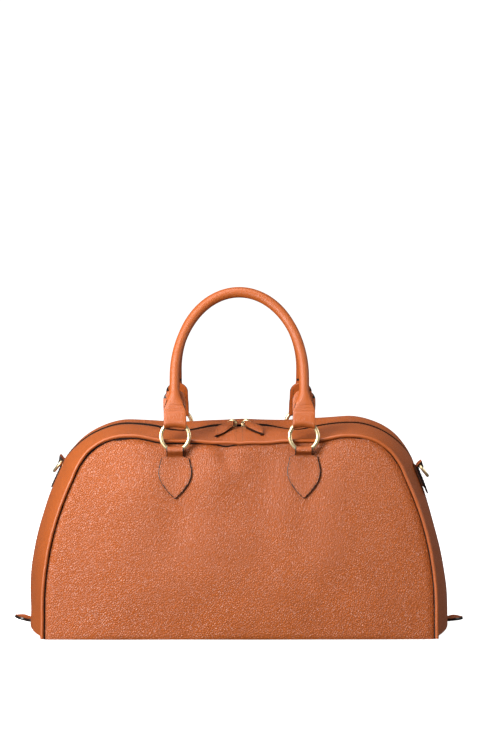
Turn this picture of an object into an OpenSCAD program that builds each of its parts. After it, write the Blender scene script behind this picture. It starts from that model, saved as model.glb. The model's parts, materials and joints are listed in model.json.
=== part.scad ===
// Weekender bag: leather body with two rolled handles on rings, a double-slider
// zip over the top and down both ends, and a D-ring at each end.
// The origin is the middle of the base, +Z is up and -Y is the front.

/* [Body] */
// Half of the front panel's width at the base
base_half = 241; // [225:1:260]
// Half of the bag's depth at the base
base_half_depth = 100; // [90:1:115]
// Half of the bag's depth at the top seams
top_half_depth = 70; // [62:1:80]
// Height of the upright stretch at the foot of each side
side_straight = 38; // [25:1:50]
// Radius of the long curve up each side
side_radius = 365; // [340:5:390]
// Angle that each side turns through before the top corner
side_turn = 24.6; // [22:0.2:26]
// Straight stretch between the side's curve and the corner
side_slant = 15; // [8:1:20]
// Radius of the top corners
corner_radius = 69; // [60:0.5:74]
// How far the gusset swells beyond the seams at the ends
side_bulge = 24; // [16:1:28]
// How far the gusset swells above the top seams
top_bulge = 12; // [8:1:14]
// Thickness of the panels, base and gussets
leather = 3; // [2.6:0.1:3.4]
// Radius of the piping
piping_r = 2.8; // [2.4:0.1:3]

/* [Handles] */
// Half the distance between a handle's two legs
leg_half = 80; // [74:1:86]
// Height of the handle's arch above the ring's top
arch_rise = 169; // [160:1:180]
// Height of the half ellipse that the arch ends in
arch_cap = 110; // [95:1:115]
// Angle that the handles lean inwards
handle_lean = 22; // [15:0.5:22.5]
// Radius of the rolled handle
handle_r = 6.3; // [5.6:0.1:7]
// Radius of the cord inside the handle
core_r = 4.4; // [3.8:0.1:4.6]
// Radius of the ring's centreline
ring_r = 17.3; // [16.5:0.1:18]
// Radius of the ring's wire
wire_r = 2.5; // [2.2:0.1:2.6]
// Width of the leaf-shaped handle tab
leaf_w = 41; // [36:1:44]
// Length of the leaf below the ring
leaf_l = 60; // [52:1:66]

/* [Zip] */
// Half the width between the leather edges along the zip
zip_gap = 6; // [5.4:0.1:6.6]
// Travel of each slider from the middle to the end of the mouth
slider_travel = 122; // [110:1:126]
// Length of a zip pull's leather leaf
pull_l = 44; // [34:1:46]
// Width of a zip pull's leather leaf
pull_w = 17; // [13:0.5:18]

/* [End rings] */
// Inner width of a D-ring
d_ring_w = 22; // [20:0.5:24]
// Inner height of a D-ring
d_ring_h = 14; // [13:0.5:15]
// Distance of the D-ring tabs in front of the zip
d_tab_y = 25; // [23:0.5:27]

/* [Pockets] */
// Width of the inner pockets
pocket_w = 200; // [160:5:220]
// Height of the inner slip pocket
pocket_h = 120; // [100:5:130]

/* [Hidden] */
$fn = 48;

tan_colour = [0.66, 0.31, 0.12];
edge_colour = [0.14, 0.10, 0.09];
lining_colour = [0.72, 0.62, 0.48];
gold_colour = [0.86, 0.72, 0.42];

// Side outline: foot, long curve, slant and corner, as [x, z, direction of the outward normal].
side_top_x = base_half - side_radius * (1 - cos(side_turn));
side_top_z = side_straight + side_radius * sin(side_turn);
slant_x = side_top_x - side_slant * sin(side_turn);
slant_z = side_top_z + side_slant * cos(side_turn);
shoulder_x = slant_x - corner_radius * cos(side_turn);
corner_z = slant_z - corner_radius * sin(side_turn);
top_z = corner_z + corner_radius;
curve_steps = 8;
function arc_row(cx, cz, r, t) = [cx + r * cos(t), cz + r * sin(t), t];
function outline_rows(foot) = concat(
    [[base_half, foot, 0]],
    [for (i = [0:curve_steps])
        arc_row(base_half - side_radius, side_straight, side_radius, side_turn * i / curve_steps)],
    [for (i = [0:curve_steps])
        arc_row(shoulder_x, corner_z, corner_radius, side_turn + (90 - side_turn) * i / curve_steps)]
);
rows = outline_rows(leather);
top_row = [shoulder_x, top_z, 90];

// The panels lean inwards, so the bag is shallower at the top.
lean = atan((base_half_depth - top_half_depth) / top_z);
function depth_at(z) = base_half_depth - z * tan(lean);
panel_run = leather / cos(lean) + 0.05;
panel_foot = leather + leather * tan(lean) + 0.1;

// A point on the gusset's skin at a row, at depth y, and off under its outer surface.
function bulge(t) = top_bulge + (side_bulge - top_bulge) * pow(cos(t), 4);
function rise(row, y) = bulge(row[2]) * (1 - pow(y / depth_at(row[1]), 2));
function skin(row, y, off) = [
    row[0] + (rise(row, y) - off) * cos(row[2]),
    y,
    row[1] + (rise(row, y) - off) * sin(row[2])
];
function seam_depth(row, off) =
    depth_at(skin(row, depth_at(row[1]) - panel_run, off)[2]) - panel_run;

// Closed faces of a two-sided grid, rows long and cols wide.
function slab_faces(n, m) = let (under = n * m) concat(
    [for (i = [0:n - 2]) for (j = [0:m - 2]) [i * m + j, i * m + j + 1, (i + 1) * m + j + 1, (i + 1) * m + j]],
    [for (i = [0:n - 2]) for (j = [0:m - 2])
        [under + i * m + j, under + (i + 1) * m + j, under + (i + 1) * m + j + 1, under + i * m + j + 1]],
    [for (i = [0:n - 2]) [i * m, (i + 1) * m, under + (i + 1) * m, under + i * m]],
    [for (i = [0:n - 2])
        [i * m + m - 1, under + i * m + m - 1, under + (i + 1) * m + m - 1, (i + 1) * m + m - 1]],
    [for (j = [0:m - 2]) [j, under + j, under + j + 1, j + 1]],
    [for (j = [0:m - 2])
        [(n - 1) * m + j, (n - 1) * m + j + 1, under + (n - 1) * m + j + 1, under + (n - 1) * m + j]]
);

// A strip of gusset on the right-hand end, from depth lo to depth hi.
module skin_strip(list, lo, hi, cols, over, under) {
    points = [
        for (off = [over, under]) for (row = list) for (j = [0:cols])
            skin(row, lo(row, off) + (hi(row, off) - lo(row, off)) * j / cols, off)
    ];
    polyhedron(points, [for (f = slab_faces(len(list), cols + 1)) [f[3], f[2], f[1], f[0]]]);
}

// A front half strip that starts inset behind the panel and ends gap short of the middle.
module half_strip(list, inset, gap, cols, over, under) {
    skin_strip(list,
        function (row, off) -(seam_depth(row, off) - inset),
        function (row, off) -gap,
        cols, over, under);
}

// The same skin over the straight top, as one profile drawn out along X.
module top_strip(lo, hi, cols, over, under) {
    y_at = function (j) lo + (hi - lo) * j / cols;
    rotate([90, 0, 90])
    linear_extrude(height = 2 * (shoulder_x - flap_gap), center = true)
    polygon(concat(
        [for (j = [0:cols]) [y_at(j), skin(top_row, y_at(j), over)[2]]],
        [for (j = [cols:-1:0]) [y_at(j), skin(top_row, y_at(j), under)[2]]]
    ));
}
flap_gap = 0.4;

// A tube along a flat path of [x, y, normal x, normal y], with an optional bore.
function tube_points(path, r, sides) = [
    for (p = path) for (k = [0:sides - 1]) let (a = 360 * k / sides)
        [p[0] + r * cos(a) * p[2], p[1] + r * cos(a) * p[3], r * sin(a)]
];
function wall_faces(n, m, start) = [
    for (i = [0:n - 2]) for (k = [0:m - 1])
        [start + i * m + k, start + i * m + (k + 1) % m,
         start + (i + 1) * m + (k + 1) % m, start + (i + 1) * m + k]
];
module flat_tube(path, r, sides) {
    n = len(path);
    faces = concat(
        wall_faces(n, sides, 0),
        [[for (k = [sides - 1:-1:0]) k]],
        [[for (k = [0:sides - 1]) (n - 1) * sides + k]]
    );
    polyhedron(tube_points(path, r, sides), faces);
}
module flat_pipe(path, r, bore, sides) {
    n = len(path);
    under = n * sides;
    last = (n - 1) * sides;
    inner = [for (f = wall_faces(n, sides, under)) [f[3], f[2], f[1], f[0]]];
    ends = [for (k = [0:sides - 1]) let (q = (k + 1) % sides) each [
        [q, k, under + k, under + q],
        [last + k, last + q, under + last + q, under + last + k]
    ]];
    polyhedron(
        concat(tube_points(path, r, sides), tube_points(path, bore, sides)),
        concat(wall_faces(n, sides, 0), inner, ends)
    );
}

// Local frame of a panel: X across, Y up its slope and Z out of its face.
module on_front() {
    translate([0, -base_half_depth, 0])
    rotate([90 - lean, 0, 0])
    children();
}
module flip_y(back) {
    mirror([0, back ? 1 : 0, 0])
    children();
}
module flip_x(left) {
    mirror([left ? 1 : 0, 0, 0])
    children();
}
function panel_outline(inset, foot) = let (
    right = [for (row = rows)
        [row[0] - inset * cos(row[2]), max(foot, (row[1] - inset * sin(row[2])) / cos(lean))]]
) concat(right, [for (i = [len(right) - 1:-1:0]) [-right[i][0], right[i][1]]]);

// Body leather
module panel() {
    color(tan_colour)
    on_front()
    translate([0, 0, -leather])
    linear_extrude(height = leather)
    polygon(panel_outline(0, panel_foot));
}

base_steps = 8;
function base_edge(inset) = [
    for (j = [-base_steps:base_steps]) let (w = j / base_steps)
        [base_half + side_bulge * (1 - w * w) - inset, w * (base_half_depth - inset)]
];
module base_plate(z, t, inset) {
    right = base_edge(inset);
    translate([0, 0, z])
    linear_extrude(height = t)
    polygon(concat(right, [for (i = [len(right) - 1:-1:0]) [-right[i][0], right[i][1]]]));
}
module base_panel() {
    color(tan_colour)
    base_plate(0, leather - 0.02, 0);
}

gusset_cols = 5;
module gusset() {
    color(tan_colour)
    half_strip(rows, 0, zip_gap, gusset_cols, 0, leather);
}

welt = 1.2;
function piping_path() = let (
    right = [for (row = outline_rows(panel_foot)) [
        row[0] + welt * cos(row[2]), row[1] / cos(lean) + welt * sin(row[2]), cos(row[2]), sin(row[2])]]
) concat(right, [for (i = [len(right) - 1:-1:0]) [-right[i][0], right[i][1], -right[i][2], right[i][3]]]);
module piping() {
    color(tan_colour)
    on_front()
    translate([0, 0, welt])
    flat_tube(piping_path(), piping_r, 8);
}

module top_gusset() {
    color(tan_colour)
    top_strip(-(seam_depth(top_row, 0) - flap_gap), -zip_gap, gusset_cols + 3, 0, leather);
}

// Zip: a woven tape under the leather edges, and the closed chain of teeth between them
tape_half = 14;
tape_t = 0.8;
teeth_in = 0.8;
teeth_out = 2.8;
teeth_over = 0.9;
teeth_t = 2.1;
zip_foot = 16;
zip_rows = [for (row = outline_rows(zip_foot)) row];
module side_zip_tape() {
    color(edge_colour)
    for (s = [0, 1])
        flip_y(s == 1)
        skin_strip(zip_rows, function (row, off) -tape_half, function (row, off) -teeth_out - 0.02, 1,
            leather + 0.4, leather + 0.4 + tape_t);
}
module side_zip_teeth() {
    color("black")
    skin_strip(zip_rows, function (row, off) -teeth_out, function (row, off) teeth_out, 2,
        teeth_over, teeth_over + teeth_t + tape_t);
}
module zip_tape() {
    color(edge_colour)
    top_strip(-tape_half, -teeth_out - 0.02, 1, leather + 0.05, leather + 0.05 + tape_t);
}
module zip_teeth() {
    color("black")
    top_strip(-teeth_out, -teeth_in, 1, teeth_over, teeth_over + teeth_t + tape_t);
}

// Leaf shapes: pointed at the origin, widest part way up, and cut off square at the top.
function leaf_half(w, l, neck, steps) = concat(
    [for (i = [0:steps]) [w / 2 * pow(sin(90 * i / steps), 0.85), 0.6 * l * i / steps]],
    [for (i = [1:steps]) [neck + (w / 2 - neck) * (1 + cos(180 * i / steps)) / 2, l * (0.6 + 0.4 * i / steps)]]
);
module leaf(w, l, neck, t) {
    right = leaf_half(w, l, neck, 6);
    linear_extrude(height = t)
    polygon(concat(right, [for (i = [len(right) - 1:-1:1]) [-right[i][0], right[i][1]]]));
}

end_tab_l = 18.5;
end_tab_w = 22;
end_tab_t = 4;
end_tab_tilt = 14;
end_tab_z = leather + 0.6;
end_x = base_half + side_bulge;
module zip_end_tab() {
    color(edge_colour)
    union() {
        translate([end_x - leather, -zip_gap + 0.4, leather + 0.05])
        cube([leather + 2, 2 * zip_gap - 0.8, zip_foot - leather - 0.5]);
        translate([end_x + 0.6, 0, end_tab_z])
        rotate([0, -end_tab_tilt, 0])
        translate([end_tab_l + 0.6, 0, 0])
        rotate([0, 0, 90])
        leaf(end_tab_w, end_tab_l, 8, end_tab_t);
    }
}

// Sliders and pulls
slider_x = 9;
slider_z = top_z + top_bulge - teeth_over + 0.4;
plate_t = 1.6;
arch_r = 3.6;
bail_r = 5;
bail_wire = 0.9;
pull_z = slider_z + plate_t + 2.1;
arch_z = plate_t + 0.7;
pull_droop = 4;
module slider() {
    color(gold_colour)
    translate([slider_x, 0, slider_z])
    union() {
        translate([-6.5, -4.6, 0])
        cube([13, 9.2, plate_t]);
        translate([-6, -0.45, -5.2])
        cube([5, 0.9, 5.4]);
        translate([-6.5, -4.6, -6.6])
        cube([13, 9.2, 1.4]);
        intersection() {
            translate([0, 0, arch_z])
            rotate([0, 90, 0])
            rotate_extrude()
            translate([arch_r, 0])
            circle(r = 1, $fn = 24);
            translate([-2, -6, plate_t - 0.3])
            cube([4, 12, 6]);
        }
    }
}
module pull_place() {
    translate([slider_x, 0, pull_z])
    rotate([pull_droop, 0, 0])
    children();
}
module pull_ring() {
    color(gold_colour)
    pull_place()
    union() {
        translate([-2.4, 0, 0])
        rotate([0, 90, 0])
        cylinder(r = bail_wire, h = 4.8);
        translate([0, -bail_r, 0])
        rotate_extrude()
        translate([bail_r, 0])
        circle(r = bail_wire, $fn = 24);
    }
}
pull_yaw = 20;
module zip_pull() {
    color(tan_colour)
    pull_place()
    translate([0, -2 * bail_r, 0])
    difference() {
        union() {
            translate([-2.5, 0, 0])
            rotate([0, 90, 0])
            cylinder(r = 2.4, h = 5);
            translate([-2.5, -6, -1.5])
            cube([5, 5, 3]);
            rotate([0, 0, pull_yaw])
            translate([0, -4 - pull_l, -1.5])
            leaf(pull_w, pull_l, 3, 3);
        }
        translate([-3, 0, 0])
        rotate([0, 90, 0])
        cylinder(r = 1.7, h = 6);
    }
}

// Handle tabs, rings and handles
loop_r = 7.3;
loop_bore = 4.8;
loop_half = 8;
tab_t = 3.4;
ring_foot_z = top_z - 12.6;
ring_foot_y = -(depth_at(ring_foot_z) + loop_r + 0.5);
ring_top_z = ring_foot_z + 2 * ring_r * cos(lean);
ring_top_y = ring_foot_y + 2 * ring_r * sin(lean);
leaf_top = (ring_foot_z - 1) / cos(lean);
module handle_tab() {
    color(tan_colour)
    translate([leg_half - 1, 0, 0])
    difference() {
        union() {
            on_front()
            translate([0, leaf_top - leaf_l, 0.05])
            leaf(leaf_w, leaf_l, 16, tab_t);
            translate([-loop_half, ring_foot_y, ring_foot_z])
            rotate([0, 90, 0])
            cylinder(r = loop_r, h = 2 * loop_half);
            rotate([90, 0, 90])
            linear_extrude(height = 2 * loop_half, center = true)
            polygon([
                [ring_foot_y, ring_foot_z],
                [ring_foot_y - loop_r, ring_foot_z - 2],
                [-depth_at(ring_foot_z - 18) - 1, ring_foot_z - 18],
                [-depth_at(ring_foot_z - 1) - 0.3, ring_foot_z - 1]
            ]);
        }
        translate([-loop_half - 1, ring_foot_y, ring_foot_z])
        rotate([0, 90, 0])
        cylinder(r = loop_bore, h = 2 * loop_half + 2);
    }
}
module tab_backing() {
    color(lining_colour)
    for (s = [-1, 1])
        on_front()
        translate([s * (leg_half - 1) - 16, leaf_top - 52, -leather - 1.35])
        cube([32, 50, 1.3]);
}
module handle_ring() {
    color(gold_colour)
    translate([leg_half - 1, (ring_foot_y + ring_top_y) / 2, (ring_foot_z + ring_top_z) / 2])
    rotate([90 - lean, 0, 0])
    rotate_extrude()
    translate([ring_r, 0])
    circle(r = wire_r, $fn = 24);
}
arch_start = 20;
arch_steps = 26;
handle_path = concat(
    [[leg_half, arch_start, 1, 0]],
    [for (i = [0:arch_steps]) let (
        a = 180 * i / arch_steps,
        n = norm([arch_cap * cos(a), leg_half * sin(a)])
    ) [leg_half * cos(a), arch_rise - arch_cap + arch_cap * sin(a),
       arch_cap * cos(a) / n, leg_half * sin(a) / n]],
    [[-leg_half, arch_start, -1, 0]]
);
module on_handle() {
    translate([0, ring_top_y, ring_top_z])
    rotate([90 - handle_lean, 0, 0])
    children();
}
module handle_cover() {
    color(tan_colour)
    on_handle()
    flat_pipe(handle_path, handle_r, core_r + 0.2, 14);
}
module handle_core() {
    color(lining_colour)
    on_handle()
    flat_tube(handle_path, core_r, 10);
}
module handle_ends() {
    color(tan_colour)
    on_handle()
    for (s = [-1, 1])
        translate([s * (leg_half - 1), 0, 0])
        difference() {
            union() {
                translate([-loop_half, 0, 0])
                rotate([0, 90, 0])
                cylinder(r = loop_r, h = 2 * loop_half);
                translate([-loop_half, 0, -handle_r])
                cube([2 * loop_half, arch_start - 0.05, 2 * handle_r]);
            }
            translate([-loop_half - 1, 0, 0])
            rotate([0, 90, 0])
            cylinder(r = loop_bore, h = 2 * loop_half + 2);
        }
}

// End rings on the gusset, beside the zip
d_tab_l = 42;
d_tab_w = 20;
d_tab_t = 3;
d_wire = 2;
d_bore = 2.4;
d_tab_lean = 24.5;
d_tab_z = slant_z + 2;
d_tab_row = arc_row(shoulder_x, corner_z, corner_radius, side_turn);
d_pivot_x = d_tab_row[0] + rise(d_tab_row, d_tab_y - d_tab_w / 2) + 5.6;
d_hang = 38;
module d_ring_tab() {
    color(edge_colour)
    translate([d_pivot_x, -d_tab_y, d_tab_z])
    difference() {
        union() {
            translate([0, d_tab_w / 2, 0])
            rotate([90, 0, 0])
            cylinder(r = d_bore + 1.4, h = d_tab_w);
            rotate([0, -d_tab_lean, 0])
            translate([-d_bore - 1.4, -d_tab_w / 2, -d_tab_l])
            cube([d_tab_t, d_tab_w, d_tab_l]);
        }
        translate([0, d_tab_w / 2 + 1, 0])
        rotate([90, 0, 0])
        cylinder(r = d_bore, h = d_tab_w + 2);
    }
}
module d_ring() {
    half = d_ring_w / 2 + d_wire;
    color(gold_colour)
    translate([d_pivot_x, -d_tab_y, d_tab_z])
    rotate([0, -d_hang, 0])
    rotate([90, 0, 90])
    union() {
        translate([-half, 0, 0])
        rotate([0, 90, 0])
        cylinder(r = d_wire, h = 2 * half);
        for (s = [-1, 1]) {
            translate([s * half, 0, 0])
            sphere(r = d_wire);
            translate([s * half, -d_ring_h + half - d_wire, 0])
            rotate([-90, 0, 0])
            cylinder(r = d_wire, h = d_ring_h - half + d_wire);
        }
        intersection() {
            translate([0, -d_ring_h + half - d_wire, 0])
            rotate_extrude()
            translate([half, 0])
            circle(r = d_wire, $fn = 24);
            translate([-2 * half, -4 * half - d_ring_h + half - d_wire, -half])
            cube([4 * half, 4 * half, 2 * half]);
        }
    }
}

// Inside: stiffening board, lining and pockets
lining_t = 1;
lining_off = 4;
lining_face = -(leather + lining_off);
lining_foot = 7.4;
board_z = leather + 0.1;
board_t = 2;
pocket_z = 60;
zip_pocket_z = 168;
slot_w = 170;
slot_h = 8;
module base_board() {
    color("dimgray")
    base_plate(board_z, board_t, 9);
}
module base_lining() {
    color(lining_colour)
    base_plate(board_z + board_t + 0.1, lining_t, 9.5);
}
module panel_lining(slot) {
    color(lining_colour)
    on_front()
    translate([0, 0, lining_face - lining_t])
    linear_extrude(height = lining_t)
    difference() {
        polygon(panel_outline(5, lining_foot));
        if (slot)
            translate([-slot_w / 2, zip_pocket_z])
            square([slot_w, slot_h]);
    }
}
lining_rows = outline_rows(lining_foot);
module side_lining() {
    color(lining_colour)
    for (s = [0, 1])
        flip_y(s == 1)
        half_strip(lining_rows, lining_off + lining_t + 0.3, tape_half + 0.5, 3,
            leather + 0.2, leather + 0.2 + lining_t);
}
module top_lining() {
    color(lining_colour)
    top_strip(-(seam_depth(top_row, 0) - lining_off - lining_t - 0.6), -tape_half - 0.5, 5,
        leather + 0.2, leather + 0.2 + lining_t);
}
module slip_pocket() {
    ply = 0.9;
    room = 1.1;
    hem = 5;
    color(lining_colour)
    on_front()
    translate([-pocket_w / 2, pocket_z, lining_face - lining_t - ply - room])
    difference() {
        cube([pocket_w, pocket_h, ply + room - 0.05]);
        translate([hem, hem, ply])
        cube([pocket_w - 2 * hem, pocket_h, room]);
    }
}
module zip_pocket_bag() {
    color(lining_colour)
    on_front()
    translate([-pocket_w / 2, zip_pocket_z - pocket_h + 20, lining_face + 0.1])
    difference() {
        cube([pocket_w, pocket_h, 2.2]);
        translate([5, 5, 0.6])
        cube([pocket_w - 10, pocket_h - 10, 1]);
        translate([(pocket_w - slot_w) / 2, pocket_h - 20, -1])
        cube([slot_w, slot_h, 2]);
    }
}
module zip_pocket_frame() {
    color(tan_colour)
    on_front()
    translate([-slot_w / 2 - 7, zip_pocket_z - 7, lining_face - lining_t - 1.3])
    difference() {
        cube([slot_w + 14, slot_h + 14, 1.25]);
        translate([7, 7, -1])
        cube([slot_w, slot_h, 4]);
    }
}
module zip_pocket_zip() {
    color("black")
    on_front()
    translate([-slot_w / 2 + 0.2, zip_pocket_z + 0.2, lining_face - lining_t])
    union() {
        cube([slot_w - 0.4, slot_h - 0.4, 0.8]);
        translate([0, slot_h / 2 - 1.7, -0.8])
        cube([slot_w - 0.4, 3, 1.4]);
        translate([4, slot_h / 2 - 3, -2.4])
        cube([9, 5.6, 2]);
        translate([7, slot_h / 2 - 24, -3])
        cube([4, 24, 1]);
    }
}

panel();  // front_panel
flip_y(true) panel();  // back_panel
base_panel();
base_board();
flip_x(true) gusset();  // gusset_front_left
gusset();  // gusset_front_right
flip_x(true) flip_y(true) gusset();  // gusset_back_left
flip_y(true) gusset();  // gusset_back_right
piping();  // front_piping
flip_y(true) piping();  // back_piping
flip_x(true) side_zip_tape();  // side_zip_tape_left
side_zip_tape();  // side_zip_tape_right
flip_x(true) side_zip_teeth();  // side_zip_teeth_left
side_zip_teeth();  // side_zip_teeth_right
flip_x(true) zip_end_tab();  // zip_end_tab_left
zip_end_tab();  // zip_end_tab_right
flip_x(true) handle_tab();  // handle_tab_front_left
handle_tab();  // handle_tab_front_right
flip_x(true) flip_y(true) handle_tab();  // handle_tab_back_left
flip_y(true) handle_tab();  // handle_tab_back_right
tab_backing();  // tab_backing_front
flip_y(true) tab_backing();  // tab_backing_back
flip_x(true) flip_y(true) d_ring_tab();  // d_ring_tab_left
d_ring_tab();  // d_ring_tab_right
base_lining();
panel_lining(false);  // front_lining
flip_y(true) panel_lining(true);  // back_lining
flip_x(true) side_lining();  // side_lining_left
side_lining();  // side_lining_right
slip_pocket();
flip_y(true) zip_pocket_bag();
flip_y(true) zip_pocket_frame();
flip_y(true) zip_pocket_zip();
top_gusset();  // top_gusset_front
zip_tape();  // zip_tape_front
zip_teeth();  // zip_teeth_front
top_lining();  // top_lining_front
flip_y(true) top_gusset();  // top_gusset_back
flip_y(true) zip_tape();  // zip_tape_back
flip_y(true) zip_teeth();  // zip_teeth_back
flip_y(true) top_lining();  // top_lining_back
flip_x(true) slider();  // slider_left
slider();  // slider_right
flip_x(true) pull_ring();  // pull_ring_left
pull_ring();  // pull_ring_right
flip_x(true) zip_pull();  // zip_pull_left
zip_pull();  // zip_pull_right
flip_x(true) handle_ring();  // handle_ring_front_left
handle_ring();  // handle_ring_front_right
flip_x(true) flip_y(true) handle_ring();  // handle_ring_back_left
flip_y(true) handle_ring();  // handle_ring_back_right
handle_cover();  // handle_cover_front
flip_y(true) handle_cover();  // handle_cover_back
handle_core();  // handle_core_front
flip_y(true) handle_core();  // handle_core_back
handle_ends();  // handle_ends_front
flip_y(true) handle_ends();  // handle_ends_back
flip_x(true) flip_y(true) d_ring();  // d_ring_left
d_ring();  // d_ring_right
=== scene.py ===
"""Weekender bag: the leather, hardware, lining and stitching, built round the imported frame."""
import json
import math

import bpy
from mathutils import Matrix, Vector, noise


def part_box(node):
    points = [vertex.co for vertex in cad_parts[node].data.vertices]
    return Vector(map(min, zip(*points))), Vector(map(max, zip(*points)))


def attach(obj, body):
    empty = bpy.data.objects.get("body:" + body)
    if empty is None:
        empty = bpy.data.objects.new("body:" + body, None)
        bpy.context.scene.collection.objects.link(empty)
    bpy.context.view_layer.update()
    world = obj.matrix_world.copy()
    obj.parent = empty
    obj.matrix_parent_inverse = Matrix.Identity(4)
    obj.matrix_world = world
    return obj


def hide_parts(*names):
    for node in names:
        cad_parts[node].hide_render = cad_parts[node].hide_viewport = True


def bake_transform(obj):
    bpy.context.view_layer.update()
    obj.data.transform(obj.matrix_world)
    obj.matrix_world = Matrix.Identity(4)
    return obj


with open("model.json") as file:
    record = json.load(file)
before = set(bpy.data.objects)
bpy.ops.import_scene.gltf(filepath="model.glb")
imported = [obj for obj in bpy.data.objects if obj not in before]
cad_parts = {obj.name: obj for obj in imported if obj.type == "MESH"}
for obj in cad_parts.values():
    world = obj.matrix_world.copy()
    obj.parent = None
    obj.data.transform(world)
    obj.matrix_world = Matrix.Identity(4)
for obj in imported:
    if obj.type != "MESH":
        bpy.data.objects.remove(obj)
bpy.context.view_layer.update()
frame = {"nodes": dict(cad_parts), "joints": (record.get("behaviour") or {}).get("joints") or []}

bl_info = {
    "name": "Weekender Bag",
    "version": (1, 0, 0),
    "blender": (4, 5, 0),
    "location": "View3D > Sidebar > Bag",
    "description": "Builds a leather weekender bag round its packed frame",
    "category": "Object",
}

SIDES = (("front", -1), ("back", 1))
ENDS = (("left", -1), ("right", 1))


# ---------------------------------------------------------------- places taken from the frame

def joint_at(name):
    """A joint's point at rest."""
    joint = next(j for j in frame["joints"] if j["name"] == name)
    return Vector(joint["pos_m"])


TOP_SEAM = joint_at("front_mouth_fold")
TOP_Z = TOP_SEAM.z
TOP_DEPTH = -TOP_SEAM.y
BASE_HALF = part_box("front_panel")[1].x
BASE_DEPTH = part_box("base_panel")[1].y
LEAN = math.atan((BASE_DEPTH - TOP_DEPTH) / TOP_Z)
RING_FOOT = joint_at("front_right_ring_turn")
RING_TOP = Vector((RING_FOOT.x, *joint_at("front_handle_turn").yz))
RING_MIDDLE = (RING_FOOT + RING_TOP) / 2
RING_R = (RING_TOP - RING_FOOT).length / 2
D_PIVOTS = {end: joint_at(f"{end}_d_ring_turn") for end, _ in ENDS}
PULL_PIVOT = joint_at("right_pull_turn")
SLIDER_LOW, SLIDER_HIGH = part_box("slider_right")


# ---------------------------------------------------------------- sizes and colours a user would change

def length(name, description, default):
    return bpy.props.FloatProperty(
        name=name, description=description, default=default, min=0.0, subtype="DISTANCE", unit="LENGTH")


def tint(name, description, default):
    return bpy.props.FloatVectorProperty(
        name=name, description=description, default=default, size=4, min=0.0, max=1.0, subtype="COLOR")


class BagShape(bpy.types.PropertyGroup):
    leather: length("Leather", "Thickness of the body leather", 0.0026)
    side_straight: length("Foot", "Upright stretch at the foot of each side", 0.038)
    side_radius: length("Side radius", "Radius of the long curve up each side", 0.365)
    side_slant: length("Slant", "Straight stretch below the top corner", 0.015)
    corner_radius: length("Corner", "Radius of the top corners", 0.069)
    side_bulge: length("End swell", "How far the gusset swells at the ends", 0.024)
    top_bulge: length("Top swell", "How far the gusset swells over the top", 0.012)
    panel_swell: length("Panel swell", "How far the panels swell out", 0.010)
    piping: length("Piping", "Radius of the piping", 0.0022)
    zip_gap: length("Zip gap", "Half the gap between the leather edges along the zip", 0.0046)
    side_turn: bpy.props.FloatProperty(
        name="Side turn", description="Angle each side turns through below the corner",
        default=math.radians(24.6), subtype="ANGLE", unit="ROTATION")


class HandleShape(bpy.types.PropertyGroup):
    leg_half: length("Half spread", "Half the distance between the legs", 0.080)
    arch_rise: length("Rise", "Height of the arch above the ring", 0.169)
    arch_cap: length("Cap", "Height of the half ellipse at the top", 0.110)
    radius: length("Radius", "Radius of the rolled handle", 0.0063)
    loop_half: length("Loop", "Half the width of the loop round the ring", 0.0138)
    wire: length("Wire", "Radius of the ring's wire", 0.0025)
    leaf_half: length("Leaf", "Half the width of the handle tab's leaf", 0.0205)
    leaf_length: length("Leaf length", "Length of the handle tab below the ring", 0.0585)
    neck_half: length("Neck", "Half the width of the tab where it passes the ring", 0.0105)
    lean: bpy.props.FloatProperty(
        name="Lean", description="How far the handles lean inwards",
        default=math.radians(22), subtype="ANGLE", unit="ROTATION")


class BagFinish(bpy.types.PropertyGroup):
    tan: tint("Leather", "Colour of the body leather", (0.395, 0.088, 0.0125, 1.0))
    edge: tint("Edge paint", "Colour of the painted edges", (0.006, 0.004, 0.0035, 1.0))
    thread: tint("Thread", "Colour of the stitching", (0.20, 0.075, 0.03, 1.0))
    gold: tint("Metal", "Colour of the rings and sliders", (0.93, 0.74, 0.43, 1.0))
    lining: tint("Lining", "Colour of the cotton lining", (0.46, 0.34, 0.21, 1.0))
    grain: length("Grain", "Size of the leather's pebbles", 0.0024)
    stitch: length("Stitch", "Length from one stitch to the next", 0.0042)


# ---------------------------------------------------------------- the bag's surface

def smooth(a, b, x):
    """0 below a, 1 above b, and smooth between; a may lie above b."""
    t = min(1.0, max(0.0, (x - a) / (b - a)))
    return t * t * (3 - 2 * t)


def bell(x, middle, spread):
    return math.exp(-(((x - middle) / spread) ** 2))


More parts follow.
